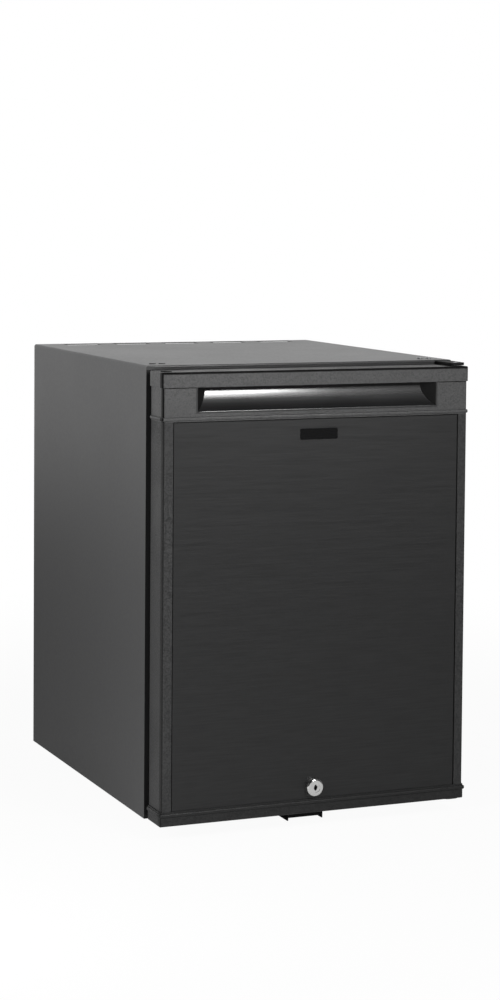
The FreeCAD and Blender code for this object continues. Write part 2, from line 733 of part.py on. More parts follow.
strike = new_body("lock_strike")
strike_line = outline(
    strike, "strike_line", "YZ_Plane", "strike_left",
    [
        ("cab_front + strike_tail", "cab_base"),
        ("step_y", "cab_base"),
        ("step_y", "strike_top"),
        ("strike_y", "strike_top"),
        ("strike_y", "strike_low"),
        ("step_y + strike_thick", "strike_low"),
        ("step_y + strike_thick", "cab_base - strike_thick"),
        ("cab_front + strike_tail", "cab_base - strike_thick"),
    ],
)
pad(strike, "strike_sheet", strike_line, "strike_width")
for ear in (("strike_left", "strike_left + strike_thick"), ("strike_right - strike_thick", "strike_right")):
    add_box(
        strike, "strike_ear", ear,
        ("strike_y", "step_y"), ("strike_clear", "strike_top"),
    )
add_box(
    strike, "strike_front_lip", ("strike_left", "strike_right"), ("strike_y", "strike_y + strike_thick"),
    ("strike_low", "strike_top + strike_lip"),
)
cut_box(
    strike, "strike_slot", ("strike_left + 2 * strike_thick", "lock_x + cam_half + slot_room"),
    ("cam_front - slot_room", "cam_rear + slot_room"), (f"strike_low - {SPILL}", f"strike_top + {SPILL}"),
)
for x, y in STRIKE_SCREWS:
    cut_rod(
        strike, "strike_hole", "hole_radius", (x, y, f"cab_base - strike_thick - {SPILL}"),
        f"strike_thick + {SPILL} * 2",
    )
keep(strike, "lock_strike")
group(
    "strike_screws",
    [
        screw("strike_screw", x, y, "cab_base - strike_thick", "strike_thick + pan_thick", True)
        for x, y in STRIKE_SCREWS
    ],
)

# Feet and their screws

foot_screws = []
for corner, (x, y) in FEET.items():
    foot = new_body("foot_" + corner)
    cone = foot.newObject("PartDesign::AdditiveCone", "foot_cone")
    bind(cone, "Radius1", "foot_radius")
    bind(cone, "Radius2", "foot_radius - foot_taper")
    bind(cone, "Height", "foot_height")
    place(cone, x, y, "0")
    round_edges(foot, "foot_edge", "foot_taper", within(z=("0", "0")))
    cut_rod(foot, "foot_recess", "screw_head + plug_rim", (x, y, f"-{SPILL}"), f"foot_recess + {SPILL}")
    cut_rod(foot, "foot_hole", "hole_radius", (x, y, "0"), f"foot_height + {SPILL}")
    keep(foot, "foot_" + corner)
    foot_screws.append(
        screw("foot_screw", x, y, "foot_recess", "foot_height - foot_recess + pan_thick", True),
    )
group("foot_screws", foot_screws)

# Cooling unit in the open rear bay

boiler = new_body("boiler_casing")
boiler_x = ("boiler_left", "boiler_left + boiler_width")
boiler_rear = "cab_rear - bay_margin"
add_box(
    boiler, "boiler_block", boiler_x, ("bay_front", boiler_rear),
    ("boiler_base", "boiler_base + boiler_height"),
)
round_edges(
    boiler, "boiler_corners", "boiler_round",
    *[within(x=(x, x), y=(boiler_rear, boiler_rear)) for x in boiler_x],
)
keep(boiler, "boiler_casing")

mid = number("bay_mid")
tube_end = number("liner_back")
tube_level = number("tube_z")
feed = number("feed_x")
riser = number("boiler_mid")
high = number("condenser_z")
condenser = pipe(
    "condenser_tube",
    [
        (riser, mid, number("boiler_base + boiler_height")),
        (riser, mid, high),
        (feed, mid, high),
        (feed, mid, tube_level),
        (feed, tube_end, tube_level),
    ],
    number("pipe_radius"), number("pipe_bend"),
)
keep(condenser, "condenser_tube")

fins = []
for index in range(int(SIZES["fin_count"])):
    x = f"(feed_x + boiler_mid) / 2 + fin_pitch * ({index} - (fin_count - 1) / 2)"
    blade = box(
        None, "", "condenser_blade", (x, f"{x} + fin_thick"), ("bay_mid - fin_half", "bay_mid + fin_half"),
        ("condenser_z - fin_half", "condenser_z + fin_half"),
    )
    bore = rod(
        None, "", "condenser_bore", "pipe_radius", (f"{x} - fin_thick", "bay_mid", "condenser_z"),
        "fin_thick * 3", X_AXIS,
    )
    fins.append(subtract("condenser_fin", blade, bore))
group("condenser_fins", fins)

vessel = new_body("absorber_vessel")
add_rod(
    vessel, "vessel_barrel", "vessel_radius", ("vessel_left", "bay_mid", "vessel_z"),
    "vessel_right - vessel_left", X_AXIS,
)
round_edges(
    vessel, "vessel_ends", "vessel_round", *[within(x=(x, x)) for x in ("vessel_left", "vessel_right")],
)
keep(vessel, "absorber_vessel")

left = number("coil_left")
right = number("coil_right")
pitch = number("coil_pitch")
runs = int(SIZES["coil_runs"])
return_x = number("back_x")
route = [(left, mid, number("vessel_z"))]
for run in range(runs):
    level = number("coil_z") + pitch * run
    ends = (left, right) if run % 2 == 0 else (right, left)
    route += [(ends[0], mid, level), (ends[1], mid, level)]
crest = number("coil_z") + pitch * runs
route += [
    (route[-1][0], mid, crest),
    (return_x, mid, crest),
    (return_x, mid, tube_level),
    (return_x, tube_end, tube_level),
]
coil = pipe("coil_pipe", route, number("coil_radius"), pitch / 2 - number("run_clear"))
keep(subtract("absorber_coil", coil, vessel), "absorber_coil")

holders = []
for share in (0.2, 0.8):
    x = f"vessel_left + (vessel_right - vessel_left) * {share}"
    stand = box(
        None, "", "vessel_stand", (f"{x} - bracket_width / 2", f"{x} + bracket_width / 2"),
        ("bay_mid - bracket_half", "bay_mid + bracket_half"), ("pan_top", "vessel_z"),
    )
    seat = rod(
        None, "", "vessel_seat", "vessel_radius", (f"{x} - bracket_width", "bay_mid", "vessel_z"),
        "bracket_width * 2", X_AXIS,
    )
    holders.append(subtract("vessel_bracket", stand, seat))
group("vessel_brackets", holders)

vessel_level = number("vessel_z")
solution = pipe(
    "solution_pipe",
    [
        (number("vessel_right"), mid, vessel_level),
        (riser, mid, vessel_level),
        (riser, mid, number("boiler_base")),
    ],
    number("thin_radius"), number("pipe_bend"),
)
keep(solution, "solution_pipe")

straps = []
for run in (1, runs - 1):
    z = f"coil_z + coil_pitch * {run}"
    straps.append(
        box(
            None, "", "unit_strap", ("-inner_half", "boiler_left"),
            ("bay_mid + coil_radius", "bay_mid + coil_radius + strap_thick"),
            (f"{z} - strap_height / 2", f"{z} + strap_height / 2"),
        )
    )
group("unit_straps", straps)

# Electrical box with the power inlet

terminal = new_body("junction_box")
box_x = ("box_left", "box_left + box_width")
add_box(terminal, "junction_block", box_x, ("bay_front", "box_rear"), ("pan_top", "pan_top + box_height"))
round_edges(
    terminal, "junction_corners", "box_round",
    *[within(x=(x, x), y=("box_rear", "box_rear")) for x in box_x],
)
socket_x = ("box_left + (box_width - inlet_width) / 2", "box_left + (box_width + inlet_width) / 2")
socket_z = ("pan_top + (box_height - inlet_height) / 2", "pan_top + (box_height + inlet_height) / 2")
cut_box(terminal, "junction_socket", socket_x, ("box_rear - inlet_deep", f"box_rear + {SPILL}"), socket_z)
keep(terminal, "junction_box")

inlet = new_body("power_inlet")
add_box(inlet, "inlet_shroud", socket_x, ("box_rear - inlet_deep", "box_rear + inlet_rim"), socket_z)
add_box(
    inlet, "inlet_face", (f"{socket_x[0]} - inlet_rim", f"{socket_x[1]} + inlet_rim"),
    ("box_rear", "box_rear + inlet_rim"), (f"{socket_z[0]} - inlet_rim", f"{socket_z[1]} + inlet_rim"),
)
cut_box(
    inlet, "inlet_hollow", (f"{socket_x[0]} + inlet_wall", f"{socket_x[1]} - inlet_wall"),
    ("box_rear - inlet_deep + inlet_wall", f"box_rear + {SPILL}"),
    (f"{socket_z[0]} + inlet_wall", f"{socket_z[1]} - inlet_wall"),
)
for across, rise in ((-1, -1), (1, -1), (0, 1)):
    x = f"box_left + box_width / 2 + {across} * inlet_width / 4"
    z = f"pan_top + box_height / 2 + {rise} * blade_rise"
    add_box(
        inlet, "inlet_blade", (f"{x} - blade_half", f"{x} + blade_half"),
        ("box_rear - inlet_deep", "box_rear - inlet_wall"), (f"{z} - blade_tall", f"{z} + blade_tall"),
    )
keep(inlet, "power_inlet")

# Door: handle cap with its scoop


def scoop_solid(name, wall, spill):
    """Form of the handle recess, grown by a wall: a concave section with slanted ends, open by a spill
    in front."""
    front = f"band_front - {spill}"
    back = f"scoop_back + {wall}"
    lip = f"band_front + recess_lip - {wall}"
    low = f"recess_low - {wall}"
    hook_top = f"recess_top + recess_hook + {wall}"
    arc_z = "recess_top + scoop_rise"
    wide = f"recess_half + {wall}"
    narrow = "recess_half - recess_depth"
    side_line = [(back, "recess_top", arc_z), ("band_front", low)]
    plan_line = [(narrow, back), (f"-({narrow})", back), (f"-({wide})", "band_front")]
    if spill:
        side_line += [(front, low)]
        plan_line += [(f"-({wide})", front), (wide, front)]
    side_line += [(front, "recess_top"), (lip, "recess_top"), (lip, hook_top), (back, hook_top)]
    plan_line += [(wide, "band_front")]
    section = new_body(name + "_section")
    pad(
        section, name + "_run", outline(section, name + "_side", "YZ_Plane", "-cap_half", side_line),
        "2 * cap_half",
    )
    plan = new_body(name + "_plan")
    plan_sketch = outline(plan, name + "_top", "XY_Plane", f"recess_low - {SPILL}", plan_line)
    pad(plan, name + "_rise", plan_sketch, f"recess_height + recess_hook + {SPILL} * 2")
    return common(name, section, plan)


scoop_outer = scoop_solid("scoop_outer", "scoop_wall", 0)
scoop_inner = scoop_solid("scoop_inner", "0", SPILL)
keep(subtract("handle_scoop", scoop_outer, scoop_inner), "handle_scoop")


def add_bead(body, name, half, front, z):
    """Raised bead across the front and round both sides."""
    add_box(body, name, both(half), (front, "door_rear"), z)
    round_edges(
        body, name + "_corners", "cap_round",
        *[within(x=(x, x), y=(front, front), z=z) for x in both(half)],
    )
    round_edges(
        body, name + "_round", "bead_round", *[within(y=(front, front), z=(level, level)) for level in z],
    )


def round_cap(body, name, level):
    """Round the front, the front corners and the sides of a door cap at its outer level."""
    round_edges(
        body, name, "cap_round",
        within(y=("door_front", "door_front"), z=(level, level)),
        *[within(x=(x, x), y=("door_front", "door_front")) for x in both("cap_half")],
    )
    round_edges(
        body, name + "_sides", "side_round", *[within(x=(x, x), z=(level, level)) for x in both("cap_half")],
    )


cap = new_body("handle_cap_block")
add_box(cap, "cap_band", both("cap_half"), ("door_front", "door_rear"), ("recess_top", "door_top"))
round_cap(cap, "cap_band_round", "door_top")
add_box(
    cap, "cap_handle_band", both("stile_half"), ("band_front", "door_rear"), ("panel_high", "recess_top"),
)
round_edges(
    cap, "cap_handle_round", "band_round",
    *[within(x=(x, x), y=("band_front", "band_front")) for x in both("stile_half")],
)
cut_box(
    cap, "cap_seam", both("cap_half"), (f"band_front - {SPILL}", "band_front + seam_deep"),
    ("recess_top - seam_tall", "recess_top"),
)
lip_box = (both("lip_in"), ("panel_rear", "panel_rear + cap_lip"), ("panel_high - cap_lap", "panel_high"))
add_box(cap, "cap_panel_lip", *lip_box)
add_bead(
    cap, "cap_bead", "stile_half + bead_proud", "band_front - bead_proud",
    ("panel_high + handle_bead_low", "panel_high + handle_bead_low + bead_height"),
)
for side in (-1, 1):
    cut_rod(
        cap, "cap_bush_hole", "bush_radius", (f"{side} * hinge_x", "hinge_y", "door_top - bush_depth"),
        f"bush_depth + {SPILL}",
    )
keep(subtract("handle_cap", cap, scoop_outer), "handle_cap")

# Door: bottom cap with the slot for the lock's cam

low_cap = new_body("bottom_cap")
add_box(low_cap, "bottom_block", both("cap_half"), ("door_front", "door_rear"), ("door_base", "panel_low"))
round_cap(low_cap, "bottom_round", "door_base")
add_bead(
    low_cap, "bottom_bead", "cap_half + bead_proud", "door_front - bead_proud",
    ("door_base + bottom_bead_low", "door_base + bottom_bead_low + bead_height"),
)
cut_box(
    low_cap, "bottom_cam_slot", ("lock_x - cam_length - cam_room", "lock_x + cam_half + cam_room"),
    ("cam_front - cam_room", "cam_rear + cam_room"), (f"door_base - {SPILL}", f"panel_low + {SPILL}"),
)
for side in (-1, 1):
    cut_rod(
        low_cap, "bottom_bush_hole", "bush_radius",
        (f"{side} * hinge_x", "hinge_y", f"door_base - {SPILL}"),
        f"pin_sink + bush_floor + {SPILL}",
    )
keep(low_cap, "bottom_cap")

# Door: side profiles, front panel, badge plate, foam and inner liner

STILE = [
    ("stile_half", "stile_front"),
    ("stile_half", "door_rear"),
    ("return_in", "door_rear"),
    ("return_in", "core_rear"),
    ("wall_in", "core_rear"),
    ("wall_in", "lip_rear"),
    ("lip_in", "lip_rear"),
    ("lip_in", "panel_rear"),
    ("face_in", "panel_rear"),
    ("face_in", "stile_front"),
]
for label, side in (("stile_left", -1), ("stile_right", 1)):
    stile = new_body(label)
    profile = outline(
        stile, label + "_line", "XY_Plane", "panel_low", [(f"{side} * ({x})", y) for x, y in STILE],
    )
    pad(stile, label + "_profile", profile, "panel_high - panel_low")
    corner = f"{side} * stile_half"
    round_edges(
        stile, label + "_round", "cap_round", within(x=(corner, corner), y=("stile_front", "stile_front")),
    )
    keep(stile, label)

panel = new_body("front_panel")
add_box(
    panel, "panel_sheet", both("panel_half"), ("panel_front", "panel_rear"),
    ("panel_low", "panel_high - groove_gap"),
)
cut_rod(
    panel, "panel_lock_hole", "barrel_radius + hole_clear", ("lock_x", f"panel_front - {SPILL}", "lock_z"),
    f"panel_thick + {SPILL} * 2", Y_AXIS,
)
keep(panel, "front_panel")

badge = new_body("badge_plate")
badge_x = both("badge_width / 2")
badge_z = ("panel_high - badge_drop - badge_height", "panel_high - badge_drop")
add_box(badge, "badge_sheet", badge_x, ("panel_front - badge_thick", "panel_front"), badge_z)
round_edges(
    badge, "badge_corners", "badge_round", *[within(x=(x, x), z=(z, z)) for x in badge_x for z in badge_z],
)
keep(badge, "badge_plate")

core = new_body("door_foam")
core_z = ("panel_low", "panel_high")
add_box(core, "core_front", both("lip_in"), ("panel_rear", "core_rear"), core_z)
add_box(core, "core_wide", both("wall_in"), ("lip_rear", "core_rear"), core_z)
cut_box(
    core, "core_lock_room", ("house_left", "house_right"), ("house_front", f"core_rear + {SPILL}"),
    (f"panel_low - {SPILL}", "house_top"),
)
cut_rod(
    core, "core_nut_room", "nut_radius", ("lock_x", f"panel_rear - {SPILL}", "lock_z"),
    f"nut_length + {SPILL}", Y_AXIS,
)
cut_rod(
    core, "core_barrel_room", "barrel_radius + hole_clear", ("lock_x", "panel_rear", "lock_z"), "cam_set",
    Y_AXIS,
)
cut_box(core, "core_lip_room", *lip_box)
keep(core, "door_foam")

inside = new_body("door_liner")
dyke_z = ("liner_floor + dyke_margin", "panel_high - dyke_margin / 2")
dyke_rear = "door_rear + dyke_reach"
add_box(inside, "inside_sheet", both("return_in"), ("core_rear", "door_rear"), core_z)
for side in (-1, 1):
    dyke_x = mirrored(side, "dyke_inner", "dyke_inner + dyke_wide")
    add_box(inside, "inside_dyke", dyke_x, ("door_rear - stile_wall / 2", dyke_rear), dyke_z)
    round_edges(inside, "inside_dyke_round", "dyke_round", within(x=dyke_x, y=(dyke_rear, dyke_rear)))
keep(inside, "door_liner")

# Door racks between the dykes

for index, (label, tall) in enumerate(
    (("rack_lower", "rack_low_height"), ("rack_middle", "rack_height"), ("rack_upper", "rack_height"))
):
    rack = new_body(label)
    floor = f"liner_floor + rack_first + rack_pitch * {index}"
    add_box(
        rack, label + "_block", both("dyke_inner"), ("door_rear", "rack_front"),
        (floor, f"{floor} + {tall}"),
    )
    round_edges(
        rack, label + "_corners", "rack_round",
        *[within(x=(x, x), y=("rack_front", "rack_front")) for x in both("dyke_inner")],
    )
    cut_box(
        rack, label + "_hollow", both("dyke_inner - rack_wall"),
        (f"door_rear - {SPILL}", "rack_front - rack_wall"),
        (f"{floor} + rack_wall", f"{floor} + {tall} + {SPILL}"),
    )
    keep(rack, label)

# Door seal

seal = new_body("door_gasket")
add_box(
    seal, "seal_block", both("half_width - gasket_outer"), ("door_rear", "cab_front - gasket_clear"),
    ("cab_base + gasket_outer", "cab_top - gasket_outer"),
)
cut_box(
    seal, "seal_hollow", both("half_width - gasket_inner"),
    (f"door_rear - {SPILL}", f"cab_front + {SPILL}"),
    ("cab_base + gasket_inner", "cab_top - gasket_inner"),
)
keep(seal, "door_gasket")

# Hinge bushes in the door, and plugs in the unused hinge holes

bush_top = new_body("hinge_bush_top")
add_rod(
    bush_top, "bush_top_body", "bush_radius", ("hinge_x", "hinge_y", "door_top - bush_depth"), "bush_depth",
)
cut_rod(
    bush_top, "bush_top_bore", "pin_radius + run_clear",
    ("hinge_x", "hinge_y", "door_top - pin_sink - bush_floor"),
    f"pin_sink + bush_floor + {SPILL}",
)
keep(bush_top, "hinge_bush_top")

bush_low = new_body("hinge_bush_bottom")
add_rod(
    bush_low, "bush_low_body", "bush_radius", ("hinge_x", "hinge_y", "door_base - bush_washer"),
    "pin_sink + bush_floor + bush_washer",
)
cut_rod(
    bush_low, "bush_low_bore", "pin_radius + run_clear", ("hinge_x", "hinge_y", f"door_base - {SPILL}"),
    f"pin_sink + bush_floor / 2 + {SPILL}",
)
keep(bush_low, "hinge_bush_bottom")

spares = []
for stem_z, disc_z in (("door_top - pin_sink / 2", "door_top"), ("door_base", "door_base - plug_height")):
    stem = rod(None, "", "spare_stem", "bush_radius", ("-hinge_x", "hinge_y", stem_z), "pin_sink / 2")
    disc = rod(
        None, "", "spare_disc", "bush_radius + plug_rim", ("-hinge_x", "hinge_y", disc_z), "plug_height",
    )
    spares.append(join("spare_plug", [stem, disc]))
group("spare_hinge_plugs", spares)

# Lock in the door: barrel, nut and the housing that keeps the foam off the cam

barrel = new_body("lock_barrel")
add_rod(
    barrel, "barrel_head", "lock_radius", ("lock_x", "lock_front", "lock_z"),
    "panel_front - lock_front", Y_AXIS,
)
round_edges(barrel, "barrel_edge", "lock_edge", within(y=("lock_front", "lock_front")))
add_rod(
    barrel, "barrel_body", "barrel_radius", ("lock_x", "panel_front", "lock_z"),
    "cam_front - move_clear - panel_front", Y_AXIS,
)
cut_rod(
    barrel, "barrel_bore", "plug_radius + run_clear", ("lock_x", f"lock_front - {SPILL}", "lock_z"),
    f"cam_front - lock_front + {SPILL} * 2", Y_AXIS,
)
keep(barrel, "lock_barrel")

hexagon = doc.addObject("Part::Prism", "nut_block")
hexagon.Polygon = 6
hexagon.Placement = FreeCAD.Placement(FreeCAD.Vector(), Y_AXIS)
bind(hexagon, "Circumradius", "nut_radius")
bind(hexagon, "Height", "nut_length")
place(hexagon, "lock_x", "panel_rear", "lock_z")
nut_bore = rod(
    None, "", "nut_bore", "barrel_radius", ("lock_x", f"panel_rear - {SPILL}", "lock_z"),
    f"nut_length + {SPILL} * 2", Y_AXIS,
)
keep(subtract("lock_nut", hexagon, nut_bore), "lock_nut")

house = new_body("lock_housing")
add_box(
    house, "house_block", ("house_left", "house_right"), ("house_front", "core_rear"),
    ("panel_low", "house_top"),
)
cut_box(
    house, "house_hollow", ("house_left + housing_wall", "house_right - housing_wall"),
    ("house_front + housing_wall", "core_rear - housing_wall"),
    (f"panel_low - {SPILL}", "house_top - housing_wall"),
)
cut_rod(
    house, "house_barrel_hole", "barrel_radius + hole_clear", ("lock_x", f"house_front - {SPILL}", "lock_z"),
    f"2 * housing_wall + {SPILL}", Y_AXIS,
)
keep(house, "lock_housing")

# Turning part of the lock: plug with key slot, cam and screw

plug = new_body("lock_plug")
plug_front = "lock_front + move_clear"
add_rod(
    plug, "plug_body", "plug_radius", ("lock_x", plug_front, "lock_z"), f"cam_front - ({plug_front})", Y_AXIS,
)
add_rod(
    plug, "plug_tail", "tail_radius", ("lock_x", "cam_front - cam_thick", "lock_z"), "2 * cam_thick", Y_AXIS,
)
cut_box(
    plug, "plug_key_slot", ("lock_x - key_wide / 2", "lock_x + key_wide / 2"),
    (f"{plug_front} - {SPILL}", f"{plug_front} + key_deep"),
    ("lock_z - key_slot / 2", "lock_z + key_slot / 2"),
)
cut_rod(
    plug, "plug_screw_hole", "screw_radius", ("lock_x", "cam_rear - key_slot", "lock_z"),
    f"key_slot + {SPILL}", Y_AXIS,
)
keep(plug, "lock_plug")

cam = new_body("lock_cam")
cam_x = ("lock_x - cam_length", "lock_x + cam_half")
cam_z = ("lock_z - cam_half", "lock_z + cam_half")
add_box(cam, "cam_blade", cam_x, ("cam_front", "cam_rear"), cam_z)
round_edges(cam, "cam_corners", "cam_round", *[within(x=(x, x), z=(z, z)) for x in cam_x for z in cam_z])
cut_rod(
    cam, "cam_hole", "tail_radius", ("lock_x", f"cam_front - {SPILL}", "lock_z"), f"cam_thick + {SPILL} * 2",
    Y_AXIS,
)
keep(cam, "lock_cam")

bolt = new_body("cam_screw")
add_rod(bolt, "bolt_head", "tail_radius + plug_rim", ("lock_x", "cam_rear", "lock_z"), "screw_height", Y_AXIS)
add_rod(
    bolt, "bolt_shank", "screw_radius", ("lock_x", "cam_rear - key_slot", "lock_z"),
    "key_slot + screw_height / 2", Y_AXIS,
)
keep(bolt, "cam_screw")

# Check every object, then write one file for each piece

doc.recompute()
for thing in doc.Objects:
    if "Invalid" in thing.State or "Error" in thing.State:
        raise ValueError(f"{thing.Label} did not build: {thing.State}")
for node in NODES:
    if node.Shape.isNull() or not node.Shape.isValid() or not node.Shape.Solids:
        raise ValueError(f"{node.Label} has no valid solid")

os.makedirs("parts", exist_ok=True)
for node in NODES:
    node.Shape.exportStep(f"parts/{node.Label}.step")
print(len(NODES), "pieces written")
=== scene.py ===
"""Looks of a free-standing black minibar fridge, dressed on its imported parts, in metres."""
import json
import math

import bmesh
import bpy
import numpy as np
from mathutils import Matrix, Vector


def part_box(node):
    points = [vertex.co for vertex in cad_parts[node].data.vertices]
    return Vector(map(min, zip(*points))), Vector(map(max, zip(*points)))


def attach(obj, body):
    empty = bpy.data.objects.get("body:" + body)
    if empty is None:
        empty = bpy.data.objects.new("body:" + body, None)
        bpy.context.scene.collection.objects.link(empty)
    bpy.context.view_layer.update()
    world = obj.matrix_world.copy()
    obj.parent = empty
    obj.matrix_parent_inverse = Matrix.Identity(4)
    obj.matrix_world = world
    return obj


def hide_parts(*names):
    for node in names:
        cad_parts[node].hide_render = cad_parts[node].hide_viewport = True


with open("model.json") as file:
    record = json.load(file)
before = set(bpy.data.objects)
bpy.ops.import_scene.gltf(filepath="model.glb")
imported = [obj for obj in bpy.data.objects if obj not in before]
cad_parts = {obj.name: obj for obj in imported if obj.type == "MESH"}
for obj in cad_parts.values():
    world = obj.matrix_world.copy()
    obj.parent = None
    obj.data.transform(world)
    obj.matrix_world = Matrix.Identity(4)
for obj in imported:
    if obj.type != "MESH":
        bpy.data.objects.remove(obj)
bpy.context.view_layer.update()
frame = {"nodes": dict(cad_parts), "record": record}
scene = bpy.context.scene
nodes_of = frame["nodes"]
SLOTS = {part["node"]: part["material_slot"] for part in frame["record"]["subparts"]}

# Camera that took the reference view: place, turn and lens, for a picture of 500 by 1000
CAMERA_PLACE = Vector((-1.15546, -2.79373, 0.74722))
CAMERA_YAW = math.radians(22.64502)
CAMERA_PITCH = math.radians(-3.29456)
CAMERA_ROLL = math.radians(0.45747)
CAMERA_LENS = 85.16312
CAMERA_SHIFT = (0.0, -0.15969)

# Studio lamps: a softbox in front that is dimmer above, a fill card beside it and a small lamp on the left
SOFTBOX_PLACE = Vector((0.25, -1.35, 0.97))
SOFTBOX_SIZE = (0.44, 0.24)
SOFTBOX_POWER = 7.6
SOFTBOX_TARGET = Vector((0.0, -0.24, 0.52))
UPPER_PLACE = Vector((0.25, -1.33, 1.24))
UPPER_SIZE = (0.44, 0.28)
UPPER_POWER = 4.2
CARD_PLACE = Vector((0.82, -1.30, 1.02))
CARD_SIZE = (0.60, 0.42)
CARD_POWER = 0.35
SIDE_LAMP_PLACE = Vector((-0.74, -0.60, 0.40))
SIDE_LAMP_SIZE = (0.30, 0.30)
SIDE_LAMP_POWER = 5.7
SIDE_LAMP_TARGET = Vector((-0.20, -0.10, 0.30))

# Room that is white behind, and a floor that is white where it is seen and shaded under the object
ROOM_DIFFUSE = 0.23
ROOM_DIM = 0.05
ROOM_BACK = (-0.30, 0.40)
ROOM_ABOVE = (0.35, 0.80)
WHITE = (1.0, 1.0, 1.0, 1.0)
FLOOR_COLOUR = (0.64, 0.64, 0.64, 1.0)
FLOOR_WHITE = (0.95, 1.0)
FLOOR_FADE = (0.5, 1.6)
FLOOR_MIRRORED = (0.03, 0.97)
FLOOR_MIRROR_FADE = (2.4, 5.5)
FLOOR_UNDER = (0.03, 0.10, 0.0)
FLOOR_UNDER_REACH = (0.135, 0.12, 1.0)
FLOOR_UNDER_FADE = (0.0, 1.15)
FLOOR_SIZE = 60.0

# Formed pieces: the angle of a sharp edge, and the distance below which points are joined
SHARP_ANGLE = math.radians(40)
SAME_POINT = 1e-7

# Door seal
SEAL_WIDTH, SEAL_FOLD, SEAL_NIP = 0.0115, 0.30, 0.12
SEAL_STEPS, SEAL_RUNS = 33, 10

# Screws; their spots are rounded to a grid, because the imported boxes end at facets
SCREW_HEAD, SCREW_HEIGHT, SCREW_RADIUS = 0.0040, 0.0016, 0.0020
SCREW_DOME = 0.45
SCREW_TURNS, SCREW_RINGS = 72, 22
SLOT_HALF, SLOT_REACH, SLOT_DEPTH = 0.00055, 0.0024, 0.0011
SPOT_GRID = 0.00005

# Thermostat knob and its scale
KNOB_TURNS, KNOB_RINGS = 144, 24
KNOB_FLUTE, KNOB_FLUTES, KNOB_TAPER = 0.10, 18, 0.06
KNOB_BAR, KNOB_DISH, KNOB_ROUND = 0.0016, 0.0030, 0.0006
BAR_FOOT, BAR_SOFT = 0.35, 0.05
KNOB_LENGTH, KNOB_SPINDLE = 0.0120, 0.0030
POINTER_HALF, POINTER_START, POINTER_FACING = 0.0009, 0.002, -0.5
POINTER_COLOUR = (0.75, 0.75, 0.74)
SCALE_INNER, SCALE_THIN, SCALE_WIDE, SCALE_RAISED = 0.0134, 0.0002, 0.0022, 0.00015
SCALE_STEPS, SCALE_SWEEP = 60, 130

# Lip of the scoop and folded rim of the case
BEAD_RUNS, BEAD_STEPS = 120, 17
LIP_RADIUS, LIP_INSET, LIP_RISE = 0.0009, 0.0020, 0.0020
RIM_INSET, RIM_DROP = 0.0012, 0.0007
RIM_PROFILE = np.array([(0.0, 0.0), (-0.0005, -0.0001), (-0.0010, -0.0017),
                        (-0.0009, -0.0020), (0.0, -0.0021)])


def middle_of(node):
    """Middle of a node's box."""
    low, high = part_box(node)
    return (low + high) / 2


# Places that the finishes refer to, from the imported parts, and small distances from a face or an edge
GROOVE_BEHIND, KEY_BEHIND = 0.0003, 0.0002
SCOOP_MATT_EDGE, SCOOP_GLOSS_EDGE = 0.008, 0.014
DOOR_FRONT, DOOR_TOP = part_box("handle_cap")[0].y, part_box("handle_cap")[1].z
GROOVE_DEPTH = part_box("front_panel")[0].y + GROOVE_BEHIND
KEY_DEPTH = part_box("lock_plug")[0].y + KEY_BEHIND
KEY_MIDDLE = (middle_of("lock_plug").x, KEY_DEPTH, middle_of("lock_plug").z)
KNOB_MIDDLE = middle_of("thermostat_knob")
SCOOP_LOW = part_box("handle_scoop")[0].z + SCOOP_MATT_EDGE
SCOOP_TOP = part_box("handle_scoop")[1].z - SCOOP_GLOSS_EDGE
SCOOP_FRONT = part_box("handle_scoop")[0].y

# Painted shade: dark, dull surface on the edges of the door, the flange of the case, the end walls and rim of
# the scoop and in the key slot; the same colour makes a ragged dark patch round the key slot
PAINTED_DARK_COLOUR = (0.018, 0.018, 0.018)
PAINTED_DARK_ROUGH = 0.6
FRONT_FACING = -0.9
FLANGE_SHADE = 0.75
STRIP_WIDTH, STRIP_SOFT = 0.009, 0.0005
SIDE_TURN, TOP_TURN, FRONT_TURN = (0.50, 0.62), (0.06, 0.16), (-0.10, -0.20)
END_TURN, END_SHADE = (0.2, 0.4), 0.85
RIM_TURN, RIM_SHADE, RIM_DEPTH = (-0.96, -0.99), 0.45, 0.0004
PATCH_REACH, PATCH_RAGGED, PATCH_FADE = (0.0024, 0.01, 0.0034), 0.5, (1.35, 1.0)
NONE_TO_FULL = (0.0, 1.0)

# Patterns of the finishes, in lumps per metre, and the part of a noise's range that is used
BLOTCHES, SPECKS, PEEL = 7.0, 240.0, 650.0
BRUSHED_LINES, LONG_LINES = 560.0, 260.0
FINE_GRAIN, COARSE_GRAIN, POLISHED_SPOTS = 1600.0, 460.0, 11.0
FLOW_WAVES, HAIRLINES = 6.0, 300.0
SCOOP_WAVES, SCOOP_GRIT = 9.0, 900.0
PLATING, DRAWN_LINES, PLATED_LINES, DULL_PATCHES = 420.0, 700.0, 260.0, 18.0
BLOOM, PORES = 35.0, 1800.0
SPANGLES, ZINC_LUMPS = 95.0, 320.0
FOAM_CELLS, FOAM_SHADES = 420.0, 60.0
LENS_FLUTES, LENS_SHADES = 420.0, 25.0
NOISE_RANGE = (0.3, 0.7)
NOISE_CORE = (0.36, 0.64)


# Finishes


def calculated(tree, operation, *values):
    """Result of one sum on outputs and numbers."""
    made = tree.nodes.new("ShaderNodeMath")
    made.operation = operation
    for socket, value in zip(made.inputs, values):
        if isinstance(value, (int, float)):
            socket.default_value = value
        else:
            tree.links.new(value, socket)
    return made.outputs["Value"]


def carried(tree, value, start_stop, low_high, kind="SMOOTHSTEP"):
    """Value carried from a start and stop to a low and high number."""
    ramp = tree.nodes.new("ShaderNodeMapRange")
    ramp.interpolation_type = kind
    tree.links.new(value, ramp.inputs["Value"])
    for name, number in zip(("From Min", "From Max", "To Min", "To Max"), (*start_stop, *low_high)):
        ramp.inputs[name].default_value = number
    return ramp.outputs["Result"]


